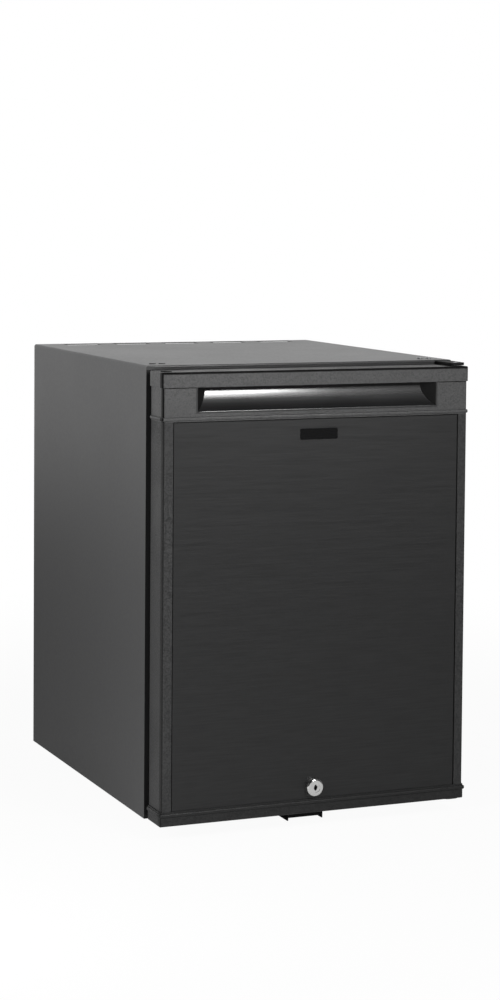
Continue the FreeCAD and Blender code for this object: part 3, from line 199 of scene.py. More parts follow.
def away_from(tree, place, middle, reach):
    """Distance of a place from a middle, counted along each axis in units of a reach."""
    mapping = tree.nodes.new("ShaderNodeMapping")
    mapping.vector_type = "TEXTURE"
    mapping.inputs["Location"].default_value = middle
    mapping.inputs["Scale"].default_value = reach
    tree.links.new(place, mapping.inputs["Vector"])
    length = tree.nodes.new("ShaderNodeVectorMath")
    length.operation = "LENGTH"
    tree.links.new(mapping.outputs["Vector"], length.inputs[0])
    return length.outputs["Value"]


def shades(colour, dark, light):
    """Darker and lighter shade of a colour."""
    return [channel * dark for channel in colour], [channel * light for channel in colour]


class Finish:
    """One surface finish: a shader with its constants set, and helpers that wire its pattern to it."""

    def __init__(self, name, colour, rough, metal=0.0, specular=0.5, **more):
        self.material = bpy.data.materials.new(name)
        self.material.use_nodes = True
        self.tree = self.material.node_tree
        self.shader = self.tree.nodes["Principled BSDF"]
        self.colour = colour
        values = {"Base Color": (*colour, 1.0), "Roughness": rough, "Metallic": metal,
                  "Specular IOR Level": specular, **more}
        for socket, value in values.items():
            self.shader.inputs[socket].default_value = value
        self.coordinate = self.node("ShaderNodeTexCoord")
        self.relief_end = None

    def node(self, kind, links=(), **values):
        """Adds a node, sets its inputs by name and links (input, output) pairs."""
        made = self.tree.nodes.new(kind)
        for key, value in values.items():
            if hasattr(made, key):
                setattr(made, key, value)
            else:
                made.inputs[key].default_value = value
        for name, output in links:
            self.tree.links.new(output, made.inputs[name])
        return made

    def axes(self, kind):
        """X, Y and Z of the place on the piece (Object) or of the way it faces (Normal)."""
        return self.node("ShaderNodeSeparateXYZ", [("Vector", self.coordinate.outputs[kind])]).outputs

    def place(self, stretch=(1, 1, 1)):
        """Place on the piece, stretched along its axes."""
        mapping = self.node("ShaderNodeMapping", [("Vector", self.coordinate.outputs["Object"])])
        mapping.inputs["Scale"].default_value = stretch
        return mapping.outputs["Vector"]

    def cloud(self, scale, detail=3.0, rough=0.55, stretch=(1, 1, 1)):
        """Soft noise with a number of lumps per metre."""
        noise = self.node("ShaderNodeTexNoise", [("Vector", self.place(stretch))],
                          Scale=scale, Detail=detail, Roughness=rough)
        return noise.outputs["Fac"]

    def pits(self, scale):
        """Distance to the nearest of scattered points."""
        cells = self.node("ShaderNodeTexVoronoi", [("Vector", self.place())], Scale=scale)
        return cells.outputs["Distance"]

    def sum(self, operation, *values):
        """Result of one sum in this finish."""
        return calculated(self.tree, operation, *values)

    def times(self, first, second):
        """Product of two values."""
        return self.sum("MULTIPLY", first, second)

    def span(self, value, low, high, used=NOISE_RANGE):
        """Value carried evenly from its used range to low and high."""
        return carried(self.tree, value, used, (low, high), "LINEAR")

    def step(self, value, start_stop, top=1.0):
        """Share that grows softly from nothing to a top value."""
        return carried(self.tree, value, start_stop, (0.0, top))

    def blend_colour(self, value, first, second):
        """Colour output between two colours or colour outputs."""
        mix = self.node("ShaderNodeMix", data_type="RGBA")
        self.tree.links.new(value, mix.inputs["Factor"])
        for place, colour in ((6, first), (7, second)):
            if isinstance(colour, bpy.types.NodeSocket):
                self.tree.links.new(colour, mix.inputs[place])
            else:
                mix.inputs[place].default_value = (*colour, 1.0)
        return mix.outputs[2]

    def blend_value(self, value, first, second):
        """Value output between an output and a number."""
        mix = self.node("ShaderNodeMix", data_type="FLOAT")
        self.tree.links.new(value, mix.inputs["Factor"])
        self.tree.links.new(first, mix.inputs[2])
        mix.inputs[3].default_value = second
        return mix.outputs[0]

    def wire(self, socket, output):
        """Links an output to one of the shader's sockets."""
        self.tree.links.new(output, self.shader.inputs[socket])

    def tint(self, value, dark, light):
        """Colour between two shades of the finish, given as factors of its colour."""
        self.wire("Base Color", self.blend_colour(value, *shades(self.colour, dark, light)))

    def sheen(self, value, low, high, used=NOISE_RANGE):
        """Roughness that varies between two values."""
        self.wire("Roughness", self.span(value, low, high, used))

    def paint_dark(self, share, colour, rough):
        """Colour and roughness with a share of painted dark, dull surface."""
        self.wire("Base Color", self.blend_colour(share, colour, PAINTED_DARK_COLOUR))
        self.wire("Roughness", self.blend_value(share, rough, PAINTED_DARK_ROUGH))

    def dull(self, share, colour, rough):
        """Painted shade: dark surface that hardly mirrors anything, because it counts as a dark metal."""
        self.paint_dark(share, colour, rough)
        self.wire("Metallic", share)

    def front_facing(self):
        """Share of the surface that faces the front."""
        return self.sum("LESS_THAN", self.axes("Normal")["Y"], FRONT_FACING)

    def edge_strips(self):
        """Share of the strips along the door's front corners and along its top front edge, where painted
        shade goes.
        """
        normal, point = self.axes("Normal"), self.axes("Object")
        strip_end = DOOR_FRONT + STRIP_WIDTH
        sideways = self.step(self.sum("ABSOLUTE", normal["X"]), SIDE_TURN)
        near = self.step(point["Y"], (strip_end, strip_end - STRIP_SOFT))
        tipped = self.times(self.step(normal["Z"], TOP_TURN), self.step(normal["Y"], FRONT_TURN))
        high = self.sum("GREATER_THAN", point["Z"], DOOR_TOP - STRIP_WIDTH)
        return self.sum("MAXIMUM", self.times(sideways, near), self.times(tipped, high))

    def relief(self, value, strength, height):
        """Small unevenness of the surface, in metres; each call adds to the one before."""
        bump = self.node("ShaderNodeBump", [("Height", value)], Strength=strength, Distance=height)
        if self.relief_end:
            self.tree.links.new(self.relief_end, bump.inputs["Normal"])
        self.relief_end = bump.outputs["Normal"]
        self.wire("Normal", self.relief_end)


def powder_paint(name, colour, rough, peel, specular=0.5, shaded_flange=False):
    """Satin paint on steel: fine peel, faint blotches and, on the case, painted shade on the front flange
    behind the door.
    """
    paint = Finish(name, colour, rough, specular=specular)
    blotch = paint.cloud(BLOTCHES, detail=5.0)
    speck = paint.cloud(SPECKS, detail=2.0)
    blotched = paint.blend_colour(blotch, *shades(colour, dark=0.92, light=1.08))
    even = paint.span(paint.times(blotch, speck), low=rough - 0.02, high=rough + 0.03, used=(0.12, 0.42))
    # Painted shade on the front-facing flange below the door's top, behind the door
    if shaded_flange:
        below = paint.sum("LESS_THAN", paint.axes("Object")["Z"], DOOR_TOP)
        flange = paint.times(paint.times(paint.front_facing(), below), FLANGE_SHADE)
        paint.dull(flange, blotched, even)
    else:
        paint.wire("Base Color", blotched)
        paint.wire("Roughness", even)
    paint.relief(paint.cloud(PEEL, detail=1.5), strength=peel, height=0.00025)
    return paint.material


def brushed_film(name, colour, rough):
    """Dark film with fine lines across: stretched noise in colour, sheen and relief."""
    film = Finish(name, colour, rough, specular=0.52)
    lines = film.cloud(BRUSHED_LINES, detail=2.5, stretch=(0.04, 1.0, 1.0))
    long_lines = film.cloud(LONG_LINES, stretch=(0.03, 1.0, 1.0))
    film.tint(film.span(lines, *NONE_TO_FULL, NOISE_CORE), dark=0.74, light=1.26)
    film.sheen(long_lines, low=rough - 0.07, high=rough + 0.07)
    film.relief(lines, strength=0.22, height=0.0002)
    return film.material


def grained_plastic(name, colour, rough):
    """Moulded plastic with a spark-eroded grain and slightly polished spots."""
    plastic = Finish(name, colour, rough)
    fine = plastic.cloud(FINE_GRAIN, detail=2.5, rough=0.6)
    plastic.tint(fine, dark=0.72, light=1.30)
    plastic.sheen(plastic.cloud(POLISHED_SPOTS, detail=4.0), low=rough - 0.06, high=rough + 0.06)
    plastic.relief(fine, strength=0.25, height=0.0004)
    return plastic.material


def pointer_plastic(name, colour, rough):
    """Black grained plastic of the knob, with a pale line filled in along its pointer bar."""
    plastic = Finish(name, colour, rough)
    fine = plastic.cloud(FINE_GRAIN, detail=2.5)
    normal, point = plastic.axes("Normal"), plastic.axes("Object")
    aside = plastic.sum("ABSOLUTE", plastic.sum("SUBTRACT", point["X"], KNOB_MIDDLE.x))
    narrow = plastic.sum("LESS_THAN", aside, POINTER_HALF)
    outward = plastic.sum("GREATER_THAN", point["Z"], KNOB_MIDDLE.z + POINTER_START)
    facing = plastic.sum("LESS_THAN", normal["Y"], POINTER_FACING)
    line = plastic.times(plastic.times(narrow, outward), facing)
    grained = plastic.blend_colour(fine, *shades(colour, dark=0.72, light=1.30))
    plastic.wire("Base Color", plastic.blend_colour(line, grained, POINTER_COLOUR))
    plastic.sheen(fine, low=rough - 0.06, high=rough + 0.06)
    plastic.relief(fine, strength=0.25, height=0.0004)
    return plastic.material


def edged_plastic(name, colour, rough, grain, specular, edge_shade):
    """Grained plastic with painted shade, dark and dull, on its rounded outer edges and on the floors of its
    grooves.
    """
    plastic = Finish(name, colour, rough, specular=specular)
    fine = plastic.cloud(COARSE_GRAIN, detail=2.5, rough=0.65)
    wide = plastic.cloud(POLISHED_SPOTS, detail=4.0)
    # Painted shade on the groove floors behind the front face
    deep = plastic.sum("GREATER_THAN", plastic.axes("Object")["Y"], GROOVE_DEPTH)
    groove_shade = plastic.times(plastic.front_facing(), deep)
    # Painted shade along the rounded front edges, joined with the painted shade in the grooves
    dark = plastic.sum("MAXIMUM", plastic.times(plastic.edge_strips(), edge_shade), groove_shade)
    speckle = plastic.span(fine, *NONE_TO_FULL, NOISE_CORE)
    grained = plastic.blend_colour(speckle, *shades(colour, dark=0.62, light=1.38))
    even = plastic.span(plastic.times(wide, fine), low=rough - 0.18, high=rough + 0.18, used=(0.16, 0.36))
    plastic.dull(dark, grained, even)
    plastic.relief(fine, strength=grain, height=0.0006)
    return plastic.material


def smooth_plastic(name, colour, rough, rubbed, **more):
    """Polished moulding: faint flow waves and hairline rubbing."""
    plastic = Finish(name, colour, rough, **more)
    wide = plastic.cloud(FLOW_WAVES)
    hair = plastic.cloud(HAIRLINES, detail=2.0, stretch=(0.05, 1.0, 1.0))
    plastic.tint(wide, dark=0.93, light=1.05)
    hazed = plastic.times(wide, hair)
    plastic.sheen(hazed, low=rough * (1 - rubbed), high=rough * (1 + rubbed), used=(0.15, 0.4))
    plastic.relief(wide, strength=0.05, height=0.0006)
    return plastic.material


def polished_scoop(name, colour, rough, matt):
    """High-gloss moulding: faint flow waves, duller towards its lower edge, with painted shade on its end
    walls and rim.
    """
    gloss = Finish(name, colour, rough, specular=0.80, IOR=1.6)
    waves = gloss.cloud(SCOOP_WAVES, detail=2.0)
    grit = gloss.cloud(SCOOP_GRIT, detail=2.0)
    normal, point = gloss.axes("Normal"), gloss.axes("Object")
    # Painted shade on the scoop's end walls and its front rim
    ends = gloss.step(gloss.sum("ABSOLUTE", normal["X"]), END_TURN, END_SHADE)
    outermost = gloss.sum("LESS_THAN", point["Y"], SCOOP_FRONT + RIM_DEPTH)
    rim = gloss.times(gloss.step(normal["Y"], RIM_TURN, RIM_SHADE), outermost)
    handled = carried(gloss.tree, point["Z"], (SCOOP_LOW, SCOOP_TOP), (matt, rough))
    even = gloss.times(handled, gloss.span(waves, low=0.92, high=1.10))
    waved = gloss.blend_colour(waves, *shades(colour, dark=0.90, light=1.08))
    gloss.dull(gloss.sum("MAXIMUM", ends, rim), waved, even)
    gloss.relief(waves, strength=0.04, height=0.0008)
    gloss.relief(gloss.times(grit, ends), strength=0.3, height=0.0003)
    return gloss.material


def keyed_metal(name, colour, rough):
    """Plated metal with painted shade in its key slot and a ragged dark patch round the slot."""
    metal = Finish(name, colour, rough, metal=1.0)
    patch = metal.cloud(PLATING)
    # Painted shade inside the key slot, and a ragged dark patch round it
    deep = metal.sum("GREATER_THAN", metal.axes("Object")["Y"], KEY_DEPTH)
    away = away_from(metal.tree, metal.coordinate.outputs["Object"], KEY_MIDDLE, PATCH_REACH)
    dark_patch = metal.step(metal.sum("MULTIPLY_ADD", patch, PATCH_RAGGED, away), PATCH_FADE)
    plated = metal.blend_colour(patch, *shades(colour, dark=0.70, light=1.10))
    even = metal.span(patch, low=rough * 0.7, high=rough * 1.5)
    metal.paint_dark(metal.sum("MAXIMUM", deep, dark_patch), plated, even)
    metal.relief(patch, strength=0.10, height=0.0003)
    return metal.material


def rubber(name, colour, rough, specular=0.35):
    """Matt rubber with a dull bloom and tiny pores."""
    soft = Finish(name, colour, rough, specular=specular)
    bloom = soft.cloud(BLOOM, detail=4.0)
    soft.tint(bloom, dark=0.75, light=1.35)
    soft.sheen(bloom, low=rough - 0.08, high=rough + 0.08)
    soft.relief(soft.pits(PORES), strength=0.15, height=0.0002)
    return soft.material


def plain_metal(name, colour, rough, stretch=(1.0, 1.0, 0.05), lines=DRAWN_LINES):
    """Bare or plated metal: drawn lines and dull patches."""
    metal = Finish(name, colour, rough, metal=1.0)
    drawn = metal.cloud(lines, detail=2.0, stretch=stretch)
    patch = metal.cloud(DULL_PATCHES, detail=5.0)
    metal.tint(patch, dark=0.82, light=1.08)
    metal.sheen(metal.times(drawn, patch), low=rough * 0.7, high=rough * 1.4, used=(0.14, 0.42))
    metal.relief(drawn, strength=0.06, height=0.0002)
    return metal.material


def spangled_zinc(name, colour, rough):
    """Galvanised sheet: crystals of different shade and sheen."""
    zinc = Finish(name, colour, rough, metal=1.0)
    cells = zinc.node("ShaderNodeTexVoronoi", [("Vector", zinc.place((1.0, 1.0, 0.6)))], Scale=SPANGLES)
    shade = zinc.node("ShaderNodeSeparateColor", [("Color", cells.outputs["Color"])]).outputs["Red"]
    zinc.tint(shade, dark=0.78, light=1.06)
    zinc.sheen(shade, low=rough * 0.8, high=rough * 1.35, used=NONE_TO_FULL)
    zinc.relief(zinc.cloud(ZINC_LUMPS), strength=0.05, height=0.0002)
    return zinc.material


def foamed(name, colour):
    """Cut insulation foam: open cells and uneven shade."""
    foam = Finish(name, colour, 0.9, specular=0.2)
    cells = foam.pits(FOAM_CELLS)
    foam.tint(foam.cloud(FOAM_SHADES, detail=4.0), dark=0.8, light=1.08)
    foam.sheen(cells, low=0.8, high=0.95, used=(0.0, 0.6))
    foam.relief(cells, strength=0.5, height=0.001)
    return foam.material


def frosted_lens(name, colour):
    """Diffusing lamp lens with fine flutes."""
    lens = Finish(name, colour, 0.32, **{"Transmission Weight": 0.55, "IOR": 1.49})
    flutes = lens.cloud(LENS_FLUTES, detail=1.0, stretch=(1.0, 0.03, 0.03))
    lens.tint(lens.cloud(LENS_SHADES), dark=0.95, light=1.03)
    lens.sheen(flutes, low=0.26, high=0.38)
    lens.relief(flutes, strength=0.3, height=0.0004)
    return lens.material


FINISHES = {
    # The case paint carries painted shade on its flange behind the door
    "case_paint": powder_paint("case_paint", (0.041, 0.0413, 0.0418), 0.36, peel=0.06, specular=0.32,
                               shaded_flange=True),
    "panel_paint": brushed_film("panel_film", (0.0085, 0.0086, 0.0088), 0.46),
    "door_plastic": edged_plastic("door_plastic", (0.040, 0.0401, 0.0403), 0.50, grain=0.70, specular=0.66,
                                  edge_shade=1.0),
    "stile_plastic": edged_plastic("stile_plastic", (0.026, 0.0261, 0.0263), 0.50, grain=0.50, specular=0.34,
                                   edge_shade=0.6),
    # Darker copy of the door plastic for the bottom cap: painted shade, as the lower end of the door gets
    # less light
    "shaded_base_plastic": edged_plastic("shaded_base_plastic", (0.0145, 0.0146, 0.0147), 0.50, grain=0.50, specular=0.36,
                                  edge_shade=0.6),
    "gloss_black": polished_scoop("gloss_black", (0.010, 0.010, 0.0105), 0.13, matt=0.36),
    "badge_black": smooth_plastic("badge_black", (0.0025, 0.0025, 0.0027), 0.30, rubbed=0.25,
                                  specular=0.15),
    "hinge_paint": powder_paint("hinge_paint", (0.005, 0.005, 0.0052), 0.62, peel=0.10, specular=0.2),
    "lip_gloss": smooth_plastic("lip_gloss", (0.030, 0.030, 0.031), 0.20, rubbed=0.2, specular=1.0, IOR=1.6),
    "black_plastic": grained_plastic("black_plastic", (0.018, 0.018, 0.019), 0.50),
    "knob_black": pointer_plastic("knob_black", (0.018, 0.018, 0.019), 0.50),
    "foot_rubber": rubber("foot_rubber", (0.020, 0.020, 0.020), 0.75),
    "seal_rubber": rubber("seal_rubber", (0.0025, 0.0025, 0.0026), 0.80, specular=0.06),
    "zinc_steel": plain_metal("zinc_steel", (0.56, 0.57, 0.58), 0.34),
    "rear_zinc": spangled_zinc("rear_zinc", (0.55, 0.56, 0.57), 0.40),
    "unit_paint": powder_paint("unit_paint", (0.020, 0.020, 0.021), 0.46, peel=0.16),
    "fin_aluminium": plain_metal("fin_aluminium", (0.76, 0.77, 0.78), 0.30, stretch=(0.05, 1.0, 1.0)),
    "shelf_wire": plain_metal("shelf_wire", (0.72, 0.73, 0.74), 0.22, stretch=(1.0, 0.05, 1.0)),
    "white_plastic": smooth_plastic("white_plastic", (0.76, 0.77, 0.76), 0.34, rubbed=0.06),
    "lens": frosted_lens("lamp_lens", (0.93, 0.94, 0.93)),
    "insulation": foamed("insulation", (0.72, 0.58, 0.30)),
    "chrome": plain_metal("chrome", (0.88, 0.88, 0.87), 0.12, stretch=(1.0, 1.0, 1.0), lines=PLATED_LINES),
    "plug_chrome": keyed_metal("plug_chrome", (0.92, 0.92, 0.91), 0.16),
    "strike_paint": powder_paint("strike_paint", (0.0025, 0.0025, 0.0026), 0.60, peel=0.10, specular=0.2),
}
OWN_FINISH = {"rear_wall": "rear_zinc", "stile_left": "stile_plastic", "stile_right": "stile_plastic",
              "bottom_cap": "shaded_base_plastic", "badge_plate": "badge_black", "hinge_plate_top": "hinge_paint",
              "hinge_plate_bottom": "hinge_paint", "lock_strike": "strike_paint", "lock_plug": "plug_chrome",
              "spare_hinge_plugs": "hinge_paint", "hole_plugs_top": "case_paint"}


def dress(piece, finish):
    """Puts one finish in all material slots of a piece."""
    for place in range(max(1, len(piece.data.materials))):
        if place < len(piece.data.materials):
            piece.data.materials[place] = FINISHES[finish]
        else:
            piece.data.materials.append(FINISHES[finish])


for packed_node, packed_slot in SLOTS.items():
    dress(nodes_of[packed_node], OWN_FINISH.get(packed_node, packed_slot))


# Formed pieces


def quads(rows, columns, joined_rows=False):
    """Corner numbers of the quads of a grid with joined columns: each joins a point with its neighbours."""
    row, column = np.meshgrid(np.arange(rows - (not joined_rows)), np.arange(columns), indexing="ij")
    after, beside = (row + 1) % rows, (column + 1) % columns
    corners = [row * columns + column, row * columns + beside,
               after * columns + beside, after * columns + column]
    return np.stack(corners, axis=-1).reshape(-1, 4)


def formed(name, points, faces, finish, body, stands_for=()):
    """Piece from arrays of points and faces, its faces turned outward, that rides on a body."""
    mesh = bpy.data.meshes.new(name)
    mesh.from_pydata(points.reshape(-1, 3).tolist(), [], faces.tolist())
    form = bmesh.new()
    form.from_mesh(mesh)
    bmesh.ops.remove_doubles(form, verts=form.verts, dist=SAME_POINT)
    bmesh.ops.recalc_face_normals(form, faces=form.faces)
    form.to_mesh(mesh)
    form.free()
    mesh.shade_smooth()
    mesh.set_sharp_from_angle(angle=SHARP_ANGLE)
    mesh.materials.append(FINISHES[finish])
    piece = bpy.data.objects.new(name, mesh)
    scene.collection.objects.link(piece)
    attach(piece, body)
    if stands_for:
        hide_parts(*stands_for)


def corners_of(node):
    """Low and high corner of a node's box, as arrays."""
    return [np.array(corner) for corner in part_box(node)]


def bellows_seal():
    """Door seal swept round a rectangle. At a share t of its depth from the door the half width is
    w/2 (1 - fold sin(2 pi t)^2 - nip t^20), which makes two folds and a rounded magnet strip. A point
    at a distance s from the outer edge lies on the rectangle drawn in by s, so the corners are mitred."""
    low, high = corners_of("door_gasket")
    depth = np.linspace(0.0, 1.0, SEAL_STEPS)
    half = SEAL_WIDTH / 2 * (1 - SEAL_FOLD * np.sin(2 * np.pi * depth) ** 2 - SEAL_NIP * depth ** 20)
    inset = np.concatenate([SEAL_WIDTH / 2 - half, (SEAL_WIDTH / 2 + half)[::-1]])
    share = np.concatenate([depth, depth[::-1]])
    x_sides = np.array([1, 1, -1, -1])[:, None] * (high[0] - inset)
    z_sides = (low[2] + high[2]) / 2 + np.array([-1, 1, 1, -1])[:, None] * ((high[2] - low[2]) / 2 - inset)
    along = np.linspace(0.0, 1.0, SEAL_RUNS, endpoint=False)[None, :, None]

    def walked(sides):
        ahead = np.roll(sides, -1, axis=0)
        return (sides[:, None] * (1 - along) + ahead[:, None] * along).reshape(-1, len(inset))

    x, z = walked(x_sides), walked(z_sides)
    y = np.broadcast_to(low[1] + share * (high[1] - low[1]), x.shape)
    points = np.stack([x, y, z], axis=-1)
    faces = quads(len(points), len(inset), joined_rows=True)
    formed("bellows_seal", points, faces, "seal_rubber", "door", ["door_gasket"])


def screw_spots(low, high):
    """Middles of the screws in the corners of their box; a box that is one head deep has one row."""
    inner = np.array([low[:2] + SCREW_HEAD, high[:2] - SCREW_HEAD])
    across, over = np.round(inner.T / SPOT_GRID) * SPOT_GRID
    return [(x, y) for y in np.unique(over) for x in across]


def cross_head_screws(name, node, up):
    """Screws with domed heads. The head's height over its seat is h (1 - dome (r/R)^2), and a cross of two
    soft slots is pressed into it: depth d s(x/a) s(y/b) or the same turned, with s(u) = 1 / (1 + u^8)."""
    low, high = corners_of(node)
    turn = np.linspace(0.0, 2 * np.pi, SCREW_TURNS, endpoint=False)
    reach = np.linspace(0.0, 1.0, SCREW_RINGS)[:, None] * SCREW_HEAD
    across, over = reach * np.cos(turn), reach * np.sin(turn)

    def slot_cut(first, second):
        return 1 / (1 + (first / SLOT_HALF) ** 8) / (1 + (second / SLOT_REACH) ** 8)

    cross = np.maximum(slot_cut(across, over), slot_cut(over, across))
    crown = SCREW_HEIGHT * (1 - SCREW_DOME * (reach / SCREW_HEAD) ** 2) - SLOT_DEPTH * cross
    length = high[2] - low[2] - SCREW_HEIGHT
    rims = np.array([(SCREW_HEAD, 0.0), (SCREW_RADIUS, 0.0), (SCREW_RADIUS, -length), (0.0, -length)])
    radius, level = rims[:, :1], rims[:, 1:]
    sides = np.stack([radius * np.cos(turn), radius * np.sin(turn), level + 0 * turn], axis=-1)
    top = np.stack([across, over, crown], axis=-1)
    one = np.concatenate([top, sides]) * np.array([1, 1, 1 if up else -1])
    seat = high[2] - SCREW_HEIGHT if up else low[2] + SCREW_HEIGHT
    places = np.array([(x, y, seat) for x, y in screw_spots(low, high)])
    points = one[None] + places[:, None, None]
    first_points = np.arange(len(places))[:, None, None] * one.shape[0] * one.shape[1]
    faces = (quads(len(one), SCREW_TURNS)[None] + first_points).reshape(-1, 4)
    formed(name, points, faces, "zinc_steel", "cabinet", [node])


def fluted_knob():
    """Thermostat knob. Its side has the radius R f with f = 1 - flute ((1 + cos(n a)) / 2)^2. At a share r of
    that the face spreads to r R (1 - taper r^8) (1 + (f - 1) r^6), and it lies behind the front by
    dish (1 - bar) (1 - r^8) + round r^10. The raised bar points up and ends softly below the middle:
    bar = 1 / (1 + (x/w)^8) / (1 + exp(-(z + foot R) / (soft R)))."""
    low, high = corners_of("thermostat_knob")
    radius, length = (high[0] - low[0]) / 2, high[1] - low[1]
    turn = np.linspace(0.0, 2 * np.pi, KNOB_TURNS, endpoint=False)
    rings = np.linspace(0.0, 1.0, KNOB_RINGS)[:, None]
    flutes = 1 - KNOB_FLUTE * (0.5 + 0.5 * np.cos(KNOB_FLUTES * turn)) ** 2
    spread = rings * radius * (1 - KNOB_TAPER * rings ** 8) * (1 + (flutes - 1) * rings ** 6)
    x, z = spread * np.sin(turn), spread * np.cos(turn)
    foot = 1 + np.exp(-(z + radius * BAR_FOOT) / (radius * BAR_SOFT))
    bar = 1 / (1 + (x / KNOB_BAR) ** 8) / foot
    y = KNOB_DISH * (1 - bar) * (1 - rings ** 8) + KNOB_ROUND * rings ** 10
    spindle = KNOB_SPINDLE / radius + 0 * turn
    side = [(flutes, KNOB_ROUND * 2), (flutes, KNOB_LENGTH), (spindle, KNOB_LENGTH), (spindle, length),
            (0 * turn, length)]
    edge = radius * np.array([share for share, _ in side])
    level = np.array([depth for _, depth in side])[:, None] + 0 * turn
    x, y, z = np.vstack([x, edge * np.sin(turn)]), np.vstack([y, level]), np.vstack([z, edge * np.cos(turn)])
    points = np.stack([KNOB_MIDDLE.x + x, low[1] + y, KNOB_MIDDLE.z + z], axis=-1)
    faces = quads(len(points), KNOB_TURNS)
    formed("fluted_knob", points, faces, "knob_black", "knob", ["thermostat_knob"])


def bead(name, node, inset, corner, profile, body, finish):
    """Bead across a node's front: a closed profile of (y, z) steps from a corner, carried along x, its ends
    drawn to a point by the factor 1 - (2t - 1)^40."""
    low, high = corners_of(node)
    share = np.linspace(0.0, 1.0, BEAD_RUNS)[:, None]
    drawn = 1 - (2 * share - 1) ** 40
    x = low[0] + inset + (high[0] - low[0] - 2 * inset) * share + 0 * profile[:, 0]
    y, z = corner[0] + drawn * profile[:, 0], corner[1] + drawn * profile[:, 1]
    faces = quads(BEAD_RUNS, len(profile))
    formed(name, np.stack([x, y, z], axis=-1), faces, finish, body)


def scoop_lip():
    """Half-round lip along the scoop's lower edge."""
    turn = np.linspace(-np.pi / 2, np.pi / 2, BEAD_STEPS)
    profile = LIP_RADIUS * np.stack([-np.cos(turn), np.sin(turn)], axis=-1)
    corner = (SCOOP_FRONT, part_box("handle_scoop")[0].z + LIP_RISE)
    bead("scoop_lip", "handle_scoop", LIP_INSET, corner, profile, "door", "lip_gloss")


def front_rim():
    """Folded rim along the top front edge of the case."""
    low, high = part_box("outer_case")
    corner = (low.y, high.z - RIM_DROP)
    bead("front_rim", "outer_case", RIM_INSET, corner, RIM_PROFILE, "cabinet", "case_paint")


def cold_scale():
    """Wedge round the knob that grows with the cold: at a share t of its sweep the inner radius is fixed and
    the outer one is inner + thin + (wide - thin) t, raised a little from the housing's face."""
    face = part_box("control_housing")[0].y
    share = np.linspace(0.0, 1.0, SCALE_STEPS)[:, None]
    turn = np.radians(SCALE_SWEEP) * (2 * share - 1)
    inner = SCALE_INNER + 0 * share
    outer = inner + SCALE_THIN + (SCALE_WIDE - SCALE_THIN) * share
    radius = np.hstack([outer, outer, inner, inner])
    y = face + np.array([0.0, -SCALE_RAISED, -SCALE_RAISED, 0.0]) + 0 * share
    x, z = KNOB_MIDDLE.x + radius * np.sin(turn), KNOB_MIDDLE.z + radius * np.cos(turn)
    ends = np.array([[0, 1, 2, 3], [4 * SCALE_STEPS - 4 + corner for corner in range(4)]])
    faces = np.vstack([quads(SCALE_STEPS, 4), ends])
    formed("cold_scale", np.stack([x, y, z], axis=-1), faces, "black_plastic", "cabinet")


bellows_seal()
cross_head_screws("hinge_screws_upper", "hinge_screws_top", True)
cross_head_screws("hinge_screws_lower", "hinge_screws_bottom", False)
cross_head_screws("strike_plate_screws", "strike_screws", False)
cross_head_screws("foot_fixing_screws", "foot_screws", False)
fluted_knob()
scoop_lip()
front_rim()
cold_scale()


# Studio


def studio_floor():
    """Pale floor that reads white in the picture and keeps the shadow under the object."""
    half = FLOOR_SIZE / 2
    corners = [(-half, -half, 0), (half, -half, 0), (half, half, 0), (-half, half, 0)]
    mesh = bpy.data.meshes.new("studio_floor")
    mesh.from_pydata(corners, [], [(0, 1, 2, 3)])
    floor = bpy.data.objects.new("studio_floor", mesh)
    scene.collection.objects.link(floor)
    material = bpy.data.materials.new("pale_floor")
    material.use_nodes = True
    tree = material.node_tree
    tree.nodes.clear()
    matt = tree.nodes.new("ShaderNodeBsdfDiffuse")
    matt.inputs["Color"].default_value = FLOOR_COLOUR
    white = tree.nodes.new("ShaderNodeEmission")
    mix = tree.nodes.new("ShaderNodeMixShader")
    place = tree.nodes.new("ShaderNodeTexCoord").outputs["Object"]
    away = away_from(tree, place, (0.0, 0.0, 0.0), (1.0, 1.0, 1.0))
    outside = away_from(tree, place, FLOOR_UNDER, FLOOR_UNDER_REACH)
    open_floor = carried(tree, outside, FLOOR_UNDER_FADE, NONE_TO_FULL)
    seen = calculated(tree, "MULTIPLY", open_floor, carried(tree, away, FLOOR_FADE, FLOOR_WHITE))
    mirrored = carried(tree, away, FLOOR_MIRROR_FADE, FLOOR_MIRRORED)
    path = tree.nodes.new("ShaderNodeLightPath").outputs
    share = calculated(tree, "MULTIPLY", seen, path["Is Camera Ray"])
    for name in ("Is Glossy Ray", "Is Transmission Ray"):
        share = calculated(tree, "MAXIMUM", share, calculated(tree, "MULTIPLY", path[name], mirrored))
    out = tree.nodes.new("ShaderNodeOutputMaterial")
    tree.links.new(share, mix.inputs["Fac"])
    tree.links.new(matt.outputs["BSDF"], mix.inputs[1])
    tree.links.new(white.outputs["Emission"], mix.inputs[2])
    tree.links.new(mix.outputs["Shader"], out.inputs["Surface"])
    mesh.materials.append(material)


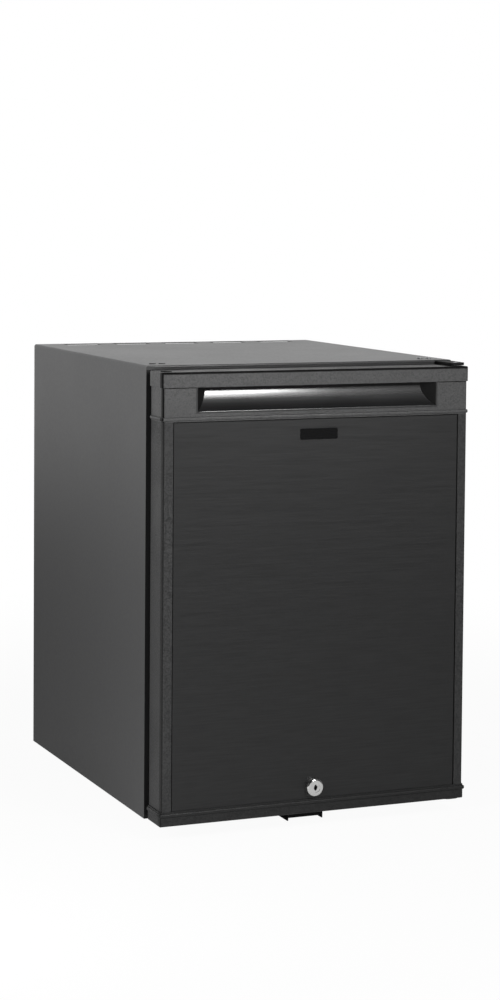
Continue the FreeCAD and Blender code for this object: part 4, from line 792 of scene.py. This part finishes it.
def studio_room():
    """White where it is seen, and behind the object; dim in front and above, as a studio is."""
    world = bpy.data.worlds.new("studio_room")
    scene.world = world
    world.use_nodes = True
    tree = world.node_tree
    tree.nodes.clear()
    direction = tree.nodes.new("ShaderNodeTexCoord")
    axes = tree.nodes.new("ShaderNodeSeparateXYZ")
    tree.links.new(direction.outputs["Generated"], axes.inputs["Vector"])
    back = carried(tree, axes.outputs["Y"], ROOM_BACK, (ROOM_DIM, 1.0))
    above = carried(tree, axes.outputs["Z"], ROOM_ABOVE, (1.0, ROOM_DIM))
    room = calculated(tree, "MULTIPLY", back, above)
    path = tree.nodes.new("ShaderNodeLightPath").outputs
    diffuse = path["Is Diffuse Ray"]
    mirrored = calculated(tree, "MULTIPLY", room, calculated(tree, "SUBTRACT", 1.0, diffuse))
    lit = calculated(tree, "MULTIPLY_ADD", diffuse, ROOM_DIFFUSE, mirrored)
    white = tree.nodes.new("ShaderNodeBackground")
    white.inputs["Color"].default_value = WHITE
    strength = calculated(tree, "MAXIMUM", lit, path["Is Camera Ray"])
    tree.links.new(strength, white.inputs["Strength"])
    out = tree.nodes.new("ShaderNodeOutputWorld")
    tree.links.new(white.outputs["Background"], out.inputs["Surface"])


def soft_panel(name, place, size, power, target, mirrored=True):
    """Flat lamp of a width and height, turned to a point; it may be left out of mirrored light."""
    lamp = bpy.data.lights.new(name, "AREA")
    lamp.shape = "RECTANGLE"
    lamp.size, lamp.size_y = size
    lamp.energy = power
    panel = bpy.data.objects.new(name, lamp)
    panel.location = place
    panel.rotation_euler = (target - place).to_track_quat("-Z", "Y").to_euler()
    panel.visible_camera = False
    panel.visible_glossy = mirrored
    scene.collection.objects.link(panel)


def photo_camera():
    """Camera with forward, right and up axes from its yaw, pitch and roll."""
    forward = Vector((math.sin(CAMERA_YAW) * math.cos(CAMERA_PITCH),
                      math.cos(CAMERA_YAW) * math.cos(CAMERA_PITCH), math.sin(CAMERA_PITCH)))
    level = Vector((math.cos(CAMERA_YAW), -math.sin(CAMERA_YAW), 0.0))
    upward = level.cross(forward)
    right = math.cos(CAMERA_ROLL) * level + math.sin(CAMERA_ROLL) * upward
    up = math.cos(CAMERA_ROLL) * upward - math.sin(CAMERA_ROLL) * level
    lens = bpy.data.cameras.new("photo_camera")
    lens.lens = CAMERA_LENS
    lens.shift_x, lens.shift_y = CAMERA_SHIFT
    camera = bpy.data.objects.new("photo_camera", lens)
    turn = Matrix((right, up, -forward)).transposed().to_4x4()
    camera.matrix_world = Matrix.Translation(CAMERA_PLACE) @ turn
    scene.collection.objects.link(camera)
    scene.camera = camera


studio_floor()
studio_room()
soft_panel("side_lamp", SIDE_LAMP_PLACE, SIDE_LAMP_SIZE, SIDE_LAMP_POWER, SIDE_LAMP_TARGET, mirrored=False)
soft_panel("front_softbox", SOFTBOX_PLACE, SOFTBOX_SIZE, SOFTBOX_POWER, SOFTBOX_TARGET)
soft_panel("upper_softbox", UPPER_PLACE, UPPER_SIZE, UPPER_POWER, SOFTBOX_TARGET)
soft_panel("fill_card", CARD_PLACE, CARD_SIZE, CARD_POWER, SOFTBOX_TARGET)
photo_camera()
scene.view_settings.view_transform = "Standard"
